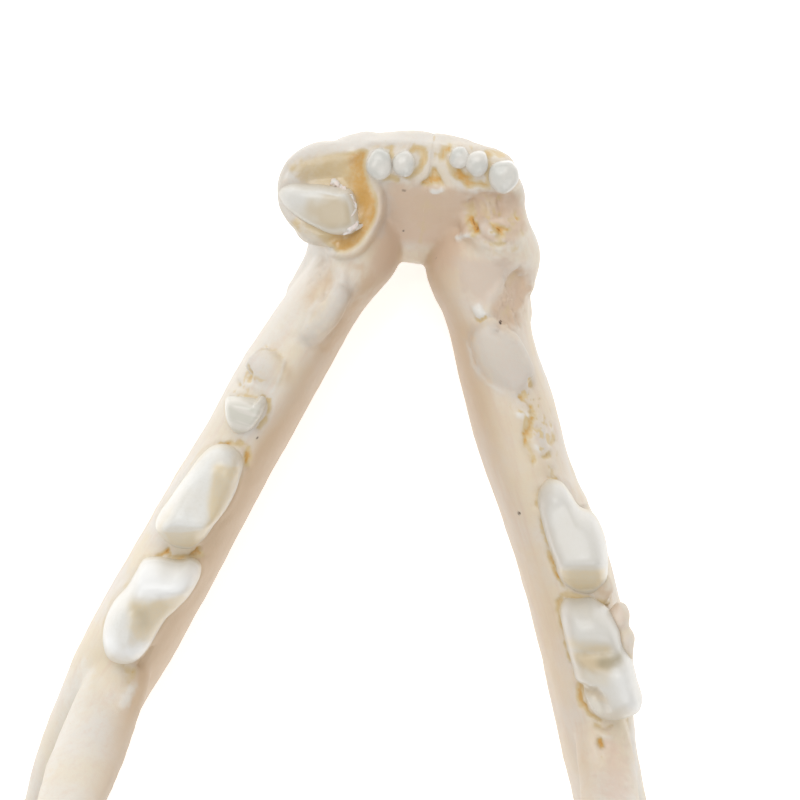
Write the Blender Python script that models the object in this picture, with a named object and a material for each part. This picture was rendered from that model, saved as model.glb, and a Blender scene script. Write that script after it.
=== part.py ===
"""Lower jaw of a domestic cat, in two halves that meet at the chin.

Jaw coordinates are millimetres: u runs outwards from the midline, v runs back from the
front of the jaw, and h rises from the rim of the tooth sockets. The animal's left half
lies on +X. The jaw rests on its lower border and on the angular processes, with +Y
towards the jaw joints, and the origin is under the middle of its box.
"""

import math

import bmesh
import bpy
import numpy as np

MM = 0.001

# Overall sizes of the jaw, mm
BODY_DEPTH = 10.3
JAW_MIDDLE = 28.4
CHIN_GAP = 0.15
RAMUS_THICKNESS = 2.2
CORONOID_THICKNESS = 1.7
CONDYLE_SPAN = (14.6, 25.4)
CONDYLE_RADIUS = 1.75
CONDYLE_PLACE = (55.0, 0.7)

# How round the sections are (1 is an ellipse, less is boxy) and how far the body leans outwards
BODY_SQUARENESS = 0.86
BODY_LEAN = 0.35
CHIN_SQUARENESS = 0.8
PLATE_SQUARENESS = 0.55
TOOTH_SQUARENESS = 0.8

# How finely the surfaces are made
REMESH_VOXEL = 0.3
BONE_TRIANGLES = 4800
BODY_ROWS, BODY_COLUMNS = 64, 28
CHIN_ROWS, CHIN_COLUMNS = 22, 32
PLATE_ROWS, PLATE_COLUMNS = 15, 40
CONDYLE_ROWS, CONDYLE_COLUMNS = 20, 18
TOOTH_COLUMNS = 24
SHARP_EDGE = math.radians(50)
BONE_COLOUR = (0.80, 0.72, 0.60, 1.0)

# The ramus, shared by both halves: outlines as (v, h)
RAMUS_CENTRE = (46.0, -2.5)
RAMUS_OUTLINE = (
    (37.0, -3.5), (39.0, 0.8), (43.0, 4.2), (48.5, 4.8), (52.2, 3.2), (54.6, 2.2),
    (54.4, -0.8), (52.2, -2.6), (51.4, -5.0), (51.8, -7.4), (52.6, -9.2), (47.0, -9.4), (40.5, -8.8),
)
CORONOID_CENTRE = (46.5, 8.0)
CORONOID_OUTLINE = (
    (40.2, 0.6), (41.4, 4.8), (43.3, 9.2), (45.8, 13.2), (48.2, 15.8), (50.6, 16.7),
    (52.6, 15.9), (52.2, 13.2), (51.2, 9.8), (50.8, 6.0), (51.0, 2.6), (45.5, 0.2),
)
# How far out the middle of the ramus lies, as (v, u), and how far it leans out per mm of height
RAMUS_MIDDLE = ((36.0, 14.9), (40.0, 15.6), (44.0, 16.5), (48.0, 17.6), (52.0, 18.8), (57.0, 20.2))
RAMUS_LEAN = 0.03

# Level sections of the chin: h, front and rear at the midline, half width
CHIN_LEVELS = (
    (-10.0, 6.8, 9.2, 2.6), (-8.8, 5.2, 9.5, 4.0), (-7.0, 3.6, 9.3, 4.8), (-5.0, 2.0, 8.7, 5.3),
    (-3.0, 0.8, 7.1, 5.5), (-1.0, 0.3, 5.0, 5.5), (0.3, 0.7, 3.3, 4.6),
)

# Processes of the ramus: a path of (u, v, h), then the widths and heights along it
CONDYLE_NECK = (
    ((19.2, 51.4, 0.6), (19.8, 53.4, 0.9), (20.0, 55.2, 0.6)), (1.3, 2.6, 3.9), (1.9, 1.8, 1.3),
)
ANGULAR_PROCESS = (
    ((19.8, 47.5, -8.6), (20.4, 51.5, -9.0), (20.0, 54.4, -8.9), (19.2, 56.4, -8.2)),
    (1.6, 1.5, 1.0, 0.6), (1.5, 1.6, 1.1, 0.6),
)

# Stations along the body of each half: v, lingual edge, buccal edge
LEFT_BODY = (
    (4.5, 1.6, 5.8), (7.0, 1.0, 5.7), (9.5, 1.1, 6.7), (12.5, 2.9, 8.4), (16.5, 4.6, 10.4),
    (20.5, 6.2, 12.0), (24.5, 7.8, 13.8), (28.5, 9.3, 15.5), (32.5, 10.8, 17.2),
    (36.5, 12.4, 18.7), (40.5, 14.1, 19.8), (44.5, 15.1, 20.7), (48.5, 16.6, 21.2),
    (52.0, 18.2, 21.3), (54.5, 19.0, 20.8),
)
RIGHT_BODY = (
    (4.5, 1.4, 6.0), (7.0, 0.8, 6.5), (9.5, 0.5, 7.2), (12.5, 2.1, 7.9), (16.5, 3.6, 9.8),
    (20.5, 5.2, 11.4), (24.5, 7.2, 13.8), (28.5, 9.0, 15.5), (32.5, 10.6, 16.9),
    (36.5, 12.0, 17.5), (40.5, 13.4, 18.6), (44.5, 14.9, 19.9), (48.5, 16.7, 20.8),
    (52.0, 18.2, 21.2), (54.5, 19.0, 20.8),
)
# Height of the upper and lower border of the body: v, top, bottom
BODY_BORDERS = (
    (4.5, -0.9, -6.6), (7.0, -0.6, -8.8), (9.5, -0.5, -10.1), (12.5, -0.5, -10.5),
    (16.5, -0.1, -10.5), (20.5, 0.1, -10.4), (28.5, 0.1, -10.2), (34.5, 0.0, -10.0),
    (37.5, -0.6, -9.8), (42.5, -3.2, -9.6), (47.0, -5.2, -9.8), (51.5, -7.2, -10.5),
    (54.5, -7.8, -9.9),
)


def follow(x, knots, values):
    """Cubic curve through the knots, with each slope taken from the neighbours."""
    knots = np.asarray(knots, float)
    values = np.asarray(values, float)
    slopes = np.gradient(values, knots)
    x = np.clip(np.asarray(x, float), knots[0], knots[-1])
    i = np.clip(np.searchsorted(knots, x, side="right") - 1, 0, len(knots) - 2)
    width = knots[i + 1] - knots[i]
    t = (x - knots[i]) / width
    start = (1 + 2 * t) * (1 - t) ** 2 * values[i] + t * (1 - t) ** 2 * width * slopes[i]
    return start + t * t * (3 - 2 * t) * values[i + 1] + t * t * (t - 1) * width * slopes[i + 1]


def around(count):
    """Angles of one turn, without the last."""
    return np.linspace(0, 2 * math.pi, count, endpoint=False)


def power(value, exponent):
    """Signed power, which squares off the corners of an ellipse."""
    return np.sign(value) * np.abs(value) ** exponent


def surface_mesh(name, rings, crest=False):
    """Closed mesh from rings of points (rows, columns, 3).

    The first ring is drawn to a point. So is the last, unless it is the long, narrow
    crest of a tooth, whose two sides are laced together.
    """
    rows, columns = rings.shape[:2]
    points = np.concatenate((rings.reshape(-1, 3), rings[:1].mean(1), rings[-1:].mean(1)))
    row = np.arange(rows - 1)[:, None] * columns
    here = np.arange(columns)
    there = (here + 1) % columns
    sides = np.stack((row + here, row + there, row + columns + there, row + columns + here), -1)
    first, last = rows * columns, rows * columns + 1
    base = (rows - 1) * columns
    faces = sides.reshape(-1, 4).tolist()
    faces += np.stack((there, here, np.full(columns, first)), -1).tolist()
    if crest:
        near = np.arange(1, columns // 2 - 1)
        lace = np.stack((near, near + 1, columns - near - 1, columns - near), -1) + base
        faces += lace.tolist()
        middle = base + columns // 2
        faces += [[base, base + 1, base + columns - 1], [middle - 1, middle, middle + 1]]
        points = points[:-1]
    else:
        faces += np.stack((base + here, base + there, np.full(columns, last)), -1).tolist()
    mesh = bpy.data.meshes.new(name)
    mesh.from_pydata(points.tolist(), [], faces)
    shape = bmesh.new()
    shape.from_mesh(mesh)
    bmesh.ops.recalc_face_normals(shape, faces=shape.faces)
    if shape.calc_volume(signed=True) < 0:
        bmesh.ops.reverse_faces(shape, faces=shape.faces)
    shape.to_mesh(mesh)
    shape.free()
    return mesh


def add_object(name, mesh):
    """Object with a mesh, in the scene."""
    thing = bpy.data.objects.new(name, mesh)
    bpy.context.scene.collection.objects.link(thing)
    return thing


def body_rings(stations):
    """Sections across the jaw: rounded upright boxes that lean outwards at the top."""
    edges = np.array(stations)
    borders = np.array(BODY_BORDERS)
    v = np.linspace(edges[0, 0], edges[-1, 0], BODY_ROWS)[:, None]
    inner = follow(v, edges[:, 0], edges[:, 1])
    outer = follow(v, edges[:, 0], edges[:, 2])
    top = follow(v, borders[:, 0], borders[:, 1])
    bottom = follow(v, borders[:, 0], borders[:, 2])
    close = np.sin(np.clip((v - edges[0, 0] + 0.3) / 3.0, 0, 1) * math.pi / 2) ** 0.5
    close = close * np.sin(np.clip((edges[-1, 0] - v + 0.3) / 2.0, 0, 1) * math.pi / 2) ** 0.5
    angle = around(BODY_COLUMNS)
    side = power(np.cos(angle), BODY_SQUARENESS)
    rise = power(np.sin(angle), BODY_SQUARENESS)
    half_width = (outer - inner) / 2 - 0.15
    u = (inner + outer) / 2 + half_width * close * side + BODY_LEAN * rise
    h = (top + bottom) / 2 + (top - bottom) / 2 * close * rise
    return np.stack((u, np.broadcast_to(v, u.shape), h), -1)


def plate_rings(centre, outline, thickness):
    """Pillow over a star-shaped outline: it swells sideways from a rounded rim."""
    points = np.array(outline) - np.array(centre)
    turn = np.arctan2(points[:, 1], points[:, 0])
    reach = np.hypot(points[:, 0], points[:, 1])
    order = np.argsort(turn)
    turn, reach = turn[order], reach[order]
    turns = np.concatenate((turn[-2:] - 2 * math.pi, turn, turn[:2] + 2 * math.pi))
    reaches = np.concatenate((reach[-2:], reach, reach[:2]))
    angle = around(PLATE_COLUMNS) - math.pi
    radius = follow(angle, turns, reaches)
    tilt = np.linspace(0.04, math.pi - 0.04, PLATE_ROWS)[:, None]
    v = centre[0] + np.sin(tilt) * radius * np.cos(angle)
    h = centre[1] + np.sin(tilt) * radius * np.sin(angle)
    u = ramus_middle(v, h) + thickness / 2 * power(np.cos(tilt), PLATE_SQUARENESS)
    return np.stack((u, v, h), -1)


def tube_rings(path, widths, heights, columns=16, rows=24, blunt=1.0):
    """Oval section carried along a path of (u, v, h) points.

    The ends are rounded over a length of blunt times the radius.
    """
    path = np.array(path, float)
    knots = np.concatenate(([0], np.cumsum(np.linalg.norm(np.diff(path, axis=0), axis=1))))
    along = knots[-1] * (1 - np.cos(np.linspace(0.12, math.pi - 0.12, rows))) / 2
    centre = np.stack([follow(along, knots, path[:, k]) for k in range(3)], -1)
    heading = np.gradient(centre, along, axis=0)
    heading /= np.linalg.norm(heading, axis=1)[:, None]
    across = np.array([1.0, 0.0, 0.0]) - heading * heading[:, :1]
    across /= np.linalg.norm(across, axis=1)[:, None]
    upward = np.cross(across, heading)
    end = np.minimum(along, knots[-1] - along)[:, None]
    wide = follow(along, knots, widths)[:, None]
    tall = follow(along, knots, heights)[:, None]
    close = np.sqrt(1 - (1 - np.clip(end / np.minimum(wide, tall) / blunt, 0, 1)) ** 2)
    angle = around(columns)
    a = (close * wide * np.cos(angle))[..., None]
    b = (close * tall * np.sin(angle))[..., None]
    return centre[:, None] + a * across[:, None] + b * upward[:, None]


def ball_rings(centre, radii, columns=14, rows=7):
    """Ellipsoid about a centre."""
    angle = around(columns)
    tilt = np.linspace(0.22, math.pi - 0.22, rows)[:, None]
    u = centre[0] + radii[0] * np.sin(tilt) * np.cos(angle)
    v = centre[1] + radii[1] * np.sin(tilt) * np.sin(angle)
    h = centre[2] + radii[2] * np.cos(tilt) + 0 * angle
    return np.stack((u, v, h), -1)


def condyle_rings():
    """Barrel across the jaw, thicker towards the midline, with rounded ends."""
    start, stop = CONDYLE_SPAN
    share = (1 - np.cos(np.linspace(0.2, math.pi - 0.2, CONDYLE_ROWS))) / 2
    u = (start + (stop - start) * share)[:, None]
    swell = (1 - (2 * share - 1) ** 4) ** 0.5 * (1.06 - 0.16 * share)
    radius = (CONDYLE_RADIUS * swell)[:, None]
    angle = around(CONDYLE_COLUMNS)
    sag = 0.5 * (1 - share[:, None])
    v = CONDYLE_PLACE[0] - sag + radius * np.cos(angle) * 0.95
    h = CONDYLE_PLACE[1] - sag + radius * np.sin(angle)
    return np.stack((np.broadcast_to(u, v.shape), v, h), -1)


def chin_rings():
    """Level sections of the chin, which slopes back from the incisors to the lower border."""
    levels = np.array(CHIN_LEVELS)
    h = np.linspace(levels[0, 0], levels[-1, 0], CHIN_ROWS)[:, None]
    front = follow(h, levels[:, 0], levels[:, 1])
    rear = follow(h, levels[:, 0], levels[:, 2])
    half = follow(h, levels[:, 0], levels[:, 3])
    angle = around(CHIN_COLUMNS)
    u = half * power(np.cos(angle), CHIN_SQUARENESS)
    v = (front + rear) / 2 + (rear - front) / 2 * power(np.sin(angle), CHIN_SQUARENESS)
    return np.stack((u, v, np.broadcast_to(h, u.shape)), -1)


def ramus_middle(v, h):
    """How far out the middle of the ramus lies: it bends in and its top leans out."""
    knots = np.array(RAMUS_MIDDLE)
    return follow(v, knots[:, 0], knots[:, 1]) + RAMUS_LEAN * h


def crown_rings(tooth):
    """Tooth from its root to its crest.

    Along the tooth x runs from the front to the back. The outline at the neck has a
    width to each side of x, the crest has an offset, a height and a half width, and the
    sides swell between them.
    """
    length = tooth["length"]
    table = np.array(tooth["stations"])
    angle = around(TOOTH_COLUMNS)
    share = power(np.cos(angle), TOOTH_SQUARENESS)
    side = power(np.sin(angle), TOOTH_SQUARENESS)
    neck_x = share * length / 2
    inner = follow(neck_x, table[:, 0], table[:, 1])
    outer = follow(neck_x, table[:, 0], table[:, 2])
    neck_y = (inner + outer) / 2 + (outer - inner) / 2 * side
    crest_x = share * length / 2 * CREST_SHARE
    crest_y = follow(crest_x, table[:, 0], table[:, 3]) + side * follow(crest_x, table[:, 0], table[:, 5])
    crest_h = follow(crest_x, table[:, 0], table[:, 4])
    rows = []
    for depth, scale in ROOT_SECTIONS:
        rows.append((neck_x * scale, neck_y * scale, np.full_like(angle, depth)))
    for rise in CROWN_SECTIONS:
        keep = 1 - rise ** CROWN_SWELL
        x = crest_x + (neck_x - crest_x) * keep
        y = crest_y + (neck_y - crest_y) * keep
        rows.append((x, y, NECK_HEIGHT + (crest_h - NECK_HEIGHT) * rise))
    x, y, h = (np.stack([row[k] for row in rows]) for k in range(3))
    heading = math.radians(tooth["heading"])
    u = tooth["place"][0] + x * math.sin(heading) + y * math.cos(heading)
    v = tooth["place"][1] + x * math.cos(heading) - y * math.sin(heading)
    return np.stack((u, v, h), -1)


# Sections of a tooth: depths and scales of the root, shares of the height of the crown
ROOT_SECTIONS = ((-3.4, 0.55), (-2.0, 0.72), (-0.6, 0.86))
CROWN_SECTIONS = (0.0, 0.18, 0.4, 0.65, 0.85, 1.0)
CROWN_SWELL = 1.7
NECK_HEIGHT = 0.25
CREST_SHARE = 0.93

# Stations of a tooth: x, lingual side, buccal side, crest offset, crest height, crest half width
PREMOLAR = (
    (-3.8, -1.5, 1.6, 0.2, 1.3, 0.3), (-2.8, -1.55, 1.7, 0.3, 2.3, 0.4),
    (-1.6, -1.6, 1.7, 0.1, 2.6, 0.5), (0.0, -1.65, 1.75, 0.1, 3.9, 0.95),
    (1.0, -1.65, 1.75, 0.1, 4.4, 1.2), (1.7, -1.6, 1.7, 0.1, 2.8, 0.9),
    (2.7, -1.6, 1.7, 0.1, 2.0, 0.5), (3.8, -1.5, 1.6, 0.1, 1.1, 0.3),
)
LEFT_MOLAR = (
    (-4.1, -2.3, 0.7, -0.9, 2.1, 0.3), (-3.0, -2.0, 1.8, -1.1, 3.5, 0.35),
    (-1.8, -1.7, 2.3, 0.1, 3.7, 0.3), (-0.7, -1.4, 2.4, 1.2, 2.7, 0.25),
    (0.6, -1.2, 2.35, 1.2, 4.1, 0.3), (2.0, -1.2, 2.1, 0.9, 5.0, 0.3),
    (3.2, -0.9, 1.6, 0.5, 3.0, 0.3), (4.1, -0.7, 1.3, 0.3, 1.3, 0.3),
)
RIGHT_MOLAR = (
    (-4.0, -1.6, 1.3, -0.5, 1.8, 0.35), (-2.9, -1.7, 1.8, -0.5, 3.2, 0.5),
    (-1.7, -1.7, 1.9, -0.4, 3.7, 0.55), (-0.6, -1.8, 1.9, 0.5, 2.5, 0.4),
    (0.6, -1.9, 1.9, 1.0, 3.6, 0.35), (2.0, -1.8, 2.0, 1.1, 4.6, 0.35),
    (3.1, -1.2, 1.9, 1.0, 3.2, 0.35), (4.0, -1.0, 1.6, 0.6, 1.4, 0.3),
)
STUMP = (
    (-1.4, -1.0, 1.0, 0.0, 1.3, 0.7), (0.0, -1.15, 1.2, 0.0, 1.8, 0.95),
    (1.4, -0.9, 0.9, 0.0, 1.1, 0.6),
)

LEFT = {
    "name": "mandible_left",
    "side": 1,
    "body": LEFT_BODY,
    "canine_swelling": {
        "path": ((6.0, 4.3, 0.9), (5.95, 4.6, -1.0), (5.0, 6.3, -3.6), (5.2, 9.4, -6.0), (6.8, 13.0, -7.0)),
        "widths": (3.1, 3.15, 2.5, 1.9, 1.6),
        "heights": (3.1, 3.1, 2.7, 2.3, 1.9),
        "blunt": 0.3,
    },
    "lumps": (
        (((15.0, 35.5, -1.8), (16.1, 39.3, 0.2), (16.95, 42.4, 5.6), (17.9, 46.2, 12.2), (18.7, 49.6, 15.7)),
         (1.8, 2.15, 2.2, 1.45, 0.8), (1.4, 1.5, 1.3, 1.0, 0.7)),
        (((4.5, 10.4, -0.6), (5.8, 12.6, -0.5), (7.2, 14.8, -0.4)), (0.9, 1.1, 0.9), (0.7, 0.8, 0.7)),
        (((7.8, 15.2, -0.4), (8.5, 16.1, -0.3), (9.0, 17.0, -0.4)), (1.2, 1.4, 1.2), (0.8, 0.9, 0.7)),
    ),
    "sockets": (
        ((5.8, 4.7, 1.3), (2.55, 2.65, 2.1)), ((0.95, 1.5, 0.7), (0.5, 0.55, 0.8)),
        ((9.4, 16.4, 0.3), (0.35, 0.45, 0.6)),
    ),
    "crowns": (
        {"place": (14.0, 32.1), "heading": 23.4, "length": 8.2, "stations": LEFT_MOLAR},
        {"place": (11.5, 24.8), "heading": 27.0, "length": 7.6, "stations": PREMOLAR},
        {"place": (9.6, 18.9), "heading": 24.0, "length": 2.7, "stations": STUMP},
    ),
    "canine": {
        "path": ((5.2, 7.2, -4.0), (5.6, 6.0, -1.5), (6.4, 5.4, 0.8), (7.7, 5.2, 3.0)),
        "widths": (1.6, 1.9, 1.9, 1.7),
        "heights": (1.5, 1.7, 1.6, 1.4),
        "blunt": 0.5,
    },
    "canine_break": ((6.2, 5.3, 2.7), (-0.3, 0.1, 0.95)),
    "incisors": (((3.03, 2.1, 0.7), 0.78), ((1.72, 1.9, 0.7), 0.66)),
}
RIGHT = {
    "name": "mandible_right",
    "side": -1,
    "body": RIGHT_BODY,
    "canine_swelling": {
        "path": ((4.1, 4.0, -1.0), (4.6, 5.8, -2.0), (5.1, 7.6, -3.4), (5.2, 10.0, -5.6), (6.4, 13.0, -6.9)),
        "widths": (2.2, 2.5, 2.4, 2.0, 1.7),
        "heights": (2.0, 2.3, 2.4, 2.3, 2.1),
        "blunt": 0.6,
    },
    "lumps": (
        (((15.0, 35.5, -1.8), (16.0, 39.3, 0.2), (16.6, 42.4, 5.6), (17.8, 46.2, 12.2), (18.7, 49.6, 15.7)),
         (1.7, 1.85, 1.75, 1.2, 0.8), (1.4, 1.5, 1.3, 1.0, 0.7)),
        (((4.6, 11.6, -0.6), (5.85, 13.45, -0.45), (7.4, 15.0, -0.4)), (1.1, 1.55, 1.15), (0.8, 0.95, 0.75)),
        (((14.2, 27.0, -1.3), (14.7, 27.8, -1.2), (15.3, 28.6, -1.2)), (0.6, 0.7, 0.65), (0.7, 0.8, 0.7)),
        (((15.6, 29.3, -1.2), (16.0, 30.1, -1.1), (16.2, 31.2, -1.2)), (0.55, 0.7, 0.5), (0.7, 0.8, 0.6)),
    ),
    "sockets": (
        ((3.1, 5.4, -0.6), (0.4, 0.6, 0.9)), ((4.9, 5.5, -0.6), (0.7, 0.6, 0.9)),
        ((8.5, 18.2, 0.0), (0.35, 0.9, 0.6)), ((9.9, 18.8, 0.3), (0.3, 0.7, 0.6)),
        ((14.6, 37.0, 0.0), (0.5, 0.5, 0.9)),
    ),
    "crowns": (
        {"place": (14.3, 31.7), "heading": 27.0, "length": 8.1, "stations": RIGHT_MOLAR},
        {"place": (11.7, 24.3), "heading": 26.0, "length": 7.4, "stations": PREMOLAR},
    ),
    "canine": None,
    "incisors": (((1.7, 1.2, 0.7), 0.6), ((2.65, 1.35, 0.7), 0.68), ((4.6, 2.15, 0.5), 0.85)),
}
# Openings of nerves and vessels on each half: centre and radii
FORAMINA = (
    ((8.9, 11.9, -4.6), (0.8, 0.6, 0.5)), ((10.6, 16.6, -5.0), (0.8, 0.5, 0.45)),
    ((16.4, 45.6, -4.2), (0.9, 0.9, 0.7)),
)


def bone_parts(half):
    """Closed overlapping surfaces that make up the bone of one half."""
    yield body_rings(half["body"])
    yield chin_rings()
    yield tube_rings(**half["canine_swelling"], columns=24)
    yield plate_rings(RAMUS_CENTRE, RAMUS_OUTLINE, RAMUS_THICKNESS)
    yield plate_rings(CORONOID_CENTRE, CORONOID_OUTLINE, CORONOID_THICKNESS)
    yield condyle_rings()
    for lump in (CONDYLE_NECK, ANGULAR_PROCESS) + half["lumps"]:
        yield tube_rings(*lump)


def evaluated(thing, name):
    """Plain mesh of an object with its modifiers applied, in place of the object."""
    depsgraph = bpy.context.evaluated_depsgraph_get()
    mesh = bpy.data.meshes.new_from_object(thing.evaluated_get(depsgraph))
    bpy.data.objects.remove(thing)
    return add_object(name, mesh)


def joined_bone(half):
    """One smooth bone from its overlapping parts."""
    shape = bmesh.new()
    for rings in bone_parts(half):
        shape.from_mesh(surface_mesh("part", rings))
    mesh = bpy.data.meshes.new("bone")
    shape.to_mesh(mesh)
    shape.free()
    bone = add_object("bone", mesh)
    remesh = bone.modifiers.new("Remesh", "REMESH")
    remesh.mode = "VOXEL"
    remesh.voxel_size = REMESH_VOXEL
    smooth = bone.modifiers.new("Smooth", "SMOOTH")
    smooth.factor = 0.5
    smooth.iterations = 4
    bone = evaluated(bone, "bone")
    thin = bone.modifiers.new("Decimate", "DECIMATE")
    thin.ratio = min(1.0, BONE_TRIANGLES / (2 * len(bone.data.polygons)))
    thin.use_collapse_triangulate = True
    return evaluated(bone, "bone")


def cut_flat(mesh, point, normal):
    """Cut a mesh by a plane, keep the side that the normal leaves, and close the cut."""
    shape = bmesh.new()
    shape.from_mesh(mesh)
    everything = shape.verts[:] + shape.edges[:] + shape.faces[:]
    cut = bmesh.ops.bisect_plane(
        shape, geom=everything, dist=1e-5, plane_co=point, plane_no=normal, clear_outer=True)
    edges = [item for item in cut["geom_cut"] if isinstance(item, bmesh.types.BMEdge)]
    bmesh.ops.holes_fill(shape, edges=edges, sides=0)
    bmesh.ops.triangulate(shape, faces=shape.faces)
    shape.to_mesh(mesh)
    shape.free()


def boolean(thing, pieces, operation, name):
    """Join meshes to an object or cut them from it, in one Boolean on their collection."""
    group = bpy.data.collections.new("pieces")
    bpy.context.scene.collection.children.link(group)
    for mesh in pieces:
        group.objects.link(bpy.data.objects.new("piece", mesh))
    modifier = thing.modifiers.new("Boolean", "BOOLEAN")
    modifier.operation = operation
    modifier.operand_type = "COLLECTION"
    modifier.collection = group
    modifier.solver = "EXACT"
    joined = evaluated(thing, name)
    for piece in list(group.objects):
        bpy.data.objects.remove(piece)
    bpy.data.collections.remove(group)
    return joined


def largest_body(thing):
    """Keep only the largest closed surface of an object."""
    shape = bmesh.new()
    shape.from_mesh(thing.data)
    shape.verts.ensure_lookup_table()
    unseen = set(shape.verts)
    bodies = []
    while unseen:
        stack = [unseen.pop()]
        body = list(stack)
        while stack:
            for edge in stack.pop().link_edges:
                for vertex in edge.verts:
                    if vertex in unseen:
                        unseen.remove(vertex)
                        stack.append(vertex)
                        body.append(vertex)
        bodies.append(body)
    bodies.sort(key=len)
    for body in bodies[:-1]:
        bmesh.ops.delete(shape, geom=body, context="VERTS")
    bmesh.ops.triangulate(shape, faces=shape.faces)
    bmesh.ops.dissolve_degenerate(shape, edges=shape.edges, dist=0.004)
    shape.to_mesh(thing.data)
    shape.free()


def teeth(half):
    """Closed surfaces of the teeth of one half, with their roots in the bone."""
    for tooth in half["crowns"]:
        yield surface_mesh("tooth", crown_rings(tooth), crest=True)
    for place, radius in half["incisors"]:
        yield surface_mesh("tooth", ball_rings(place, (radius, radius, radius * 1.5), columns=12))
    if half["canine"]:
        stump = surface_mesh("tooth", tube_rings(**half["canine"], columns=18, rows=12))
        cut_flat(stump, *half["canine_break"])
        yield stump


def bone_material(name):
    """Dry ivory bone."""
    material = bpy.data.materials.new(name)
    material.use_nodes = True
    shader = material.node_tree.nodes["Principled BSDF"]
    shader.inputs["Base Color"].default_value = BONE_COLOUR
    shader.inputs["Roughness"].default_value = 0.45
    return material


def build_half(half):
    """Bone with its sockets, cut flat at the chin and underneath, and joined to its teeth."""
    bone = joined_bone(half)
    holes = [surface_mesh("hole", ball_rings(*hole)) for hole in half["sockets"] + FORAMINA]
    bone = boolean(bone, holes, "DIFFERENCE", "bone")
    cut_flat(bone.data, (CHIN_GAP, 0, 0), (-1, 0, 0))
    cut_flat(bone.data, (0, 0, -BODY_DEPTH), (0, 0, -1))
    thing = boolean(bone, teeth(half), "UNION", half["name"])
    largest_body(thing)
    mesh = thing.data
    points = np.empty(len(mesh.vertices) * 3)
    mesh.vertices.foreach_get("co", points)
    points = points.reshape(-1, 3)
    points -= (0, JAW_MIDDLE, -BODY_DEPTH)
    points *= (half["side"] * MM, MM, MM)
    mesh.vertices.foreach_set("co", points.ravel())
    if half["side"] < 0:
        mesh.flip_normals()
    mesh.name = half["name"]
    mesh.materials.clear()
    mesh.materials.append(bone_material(half["name"]))
    mesh.shade_smooth()
    mesh.set_sharp_from_angle(angle=SHARP_EDGE)
    mesh.update()


def main():
    for thing in list(bpy.data.objects):
        bpy.data.objects.remove(thing)
    for half in (LEFT, RIGHT):
        build_half(half)


main()
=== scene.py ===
"""Looks of a domestic cat's lower jaw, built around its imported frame.

Jaw coordinates are millimetres: x runs from the midline towards the animal's left, v runs
back from the front of the jaw, and h rises from the rim of the tooth sockets. Places in the
photo are pixels of its 800 by 800 frame, and on_jaw() carries them to a level of the jaw.
A direction across the jaw is an angle in degrees: 0 points to the animal's left, 90 back.
"""

import math
from collections import namedtuple
from itertools import product

import bmesh
import bpy
import numpy as np
from bpy.props import FloatProperty, FloatVectorProperty, IntProperty, PointerProperty
from mathutils import Matrix


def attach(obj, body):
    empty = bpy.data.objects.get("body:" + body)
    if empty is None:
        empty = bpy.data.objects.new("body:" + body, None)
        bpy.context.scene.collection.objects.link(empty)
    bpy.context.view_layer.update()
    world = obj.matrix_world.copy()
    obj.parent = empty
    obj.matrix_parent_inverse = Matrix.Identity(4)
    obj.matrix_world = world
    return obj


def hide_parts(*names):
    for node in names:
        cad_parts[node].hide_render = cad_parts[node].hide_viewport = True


bl_info = {
    "name": "Cat lower jaw",
    "version": (1, 0, 0),
    "blender": (4, 5, 0),
    "location": "View3D > Sidebar > Jaw",
    "description": "Dresses the packed frame as a dry cat lower jaw with worn and broken teeth",
    "category": "Add Mesh",
}

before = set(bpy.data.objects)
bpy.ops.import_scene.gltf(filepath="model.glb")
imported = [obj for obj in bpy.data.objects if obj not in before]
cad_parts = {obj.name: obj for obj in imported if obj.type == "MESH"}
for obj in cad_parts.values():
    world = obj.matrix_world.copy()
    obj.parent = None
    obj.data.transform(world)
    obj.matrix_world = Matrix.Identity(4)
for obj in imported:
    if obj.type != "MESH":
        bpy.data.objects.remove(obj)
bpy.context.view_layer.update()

MM = 0.001
# How far inside a cut, in mm, a line of points keeps its shading narrow
CUT_MARGIN = 0.006
SIDES = {"left": 1, "right": -1}

# The camera that took the photo: distance and aim in mm, focal length and frame in pixels
CAMERA_DISTANCE = 300.0
CAMERA_AIM = (0.0, 16.95, 0.0)
CAMERA_TILT = math.radians(10.0)
CAMERA_ROLL = math.radians(7.1)
FOCAL_PIXELS = 4800.0
PHOTO_PIXELS = 800
SENSOR_MM = 36.0

# Outlines of the ramus, shared by both halves, as (v, h)
RAMUS_CENTRE = (46.0, -2.5)
RAMUS_OUTLINE = (
    (37.0, -3.5), (39.0, 0.8), (43.0, 4.2), (48.5, 4.8), (52.2, 3.2), (54.6, 2.2), (54.4, -0.8),
    (52.2, -2.6), (51.4, -5.0), (51.8, -7.4), (52.6, -9.2), (47.0, -9.4), (40.5, -8.8),
)
CORONOID_CENTRE = (46.5, 8.0)
CORONOID_OUTLINE = (
    (40.2, 0.6), (41.4, 4.8), (43.3, 9.2), (45.8, 13.2), (48.2, 15.8), (50.6, 16.7),
    (52.6, 15.9), (52.2, 13.2), (51.2, 9.8), (50.8, 6.0), (51.0, 2.6), (45.5, 0.2),
)
# How far out the middle of the ramus lies, as (v, u)
RAMUS_MIDDLE = ((36.0, 14.9), (40.0, 15.6), (44.0, 16.5), (48.0, 17.6), (52.0, 18.8), (57.0, 20.2))
RAMUS_LEAN = 0.03
CONDYLE_SPAN = (14.6, 25.4)
CONDYLE_PLACE = (55.0, 0.7)

# Level sections of the chin: h, front and rear at the midline, half width
CHIN_LEVELS = (
    (-10.0, 6.8, 9.2, 2.6), (-8.8, 5.2, 9.5, 4.0), (-7.0, 3.6, 9.3, 4.8), (-5.0, 2.0, 8.7, 5.3),
    (-3.0, 0.8, 7.1, 5.5), (-1.0, 0.3, 5.0, 5.5), (0.3, 0.7, 3.3, 4.6),
)
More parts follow.
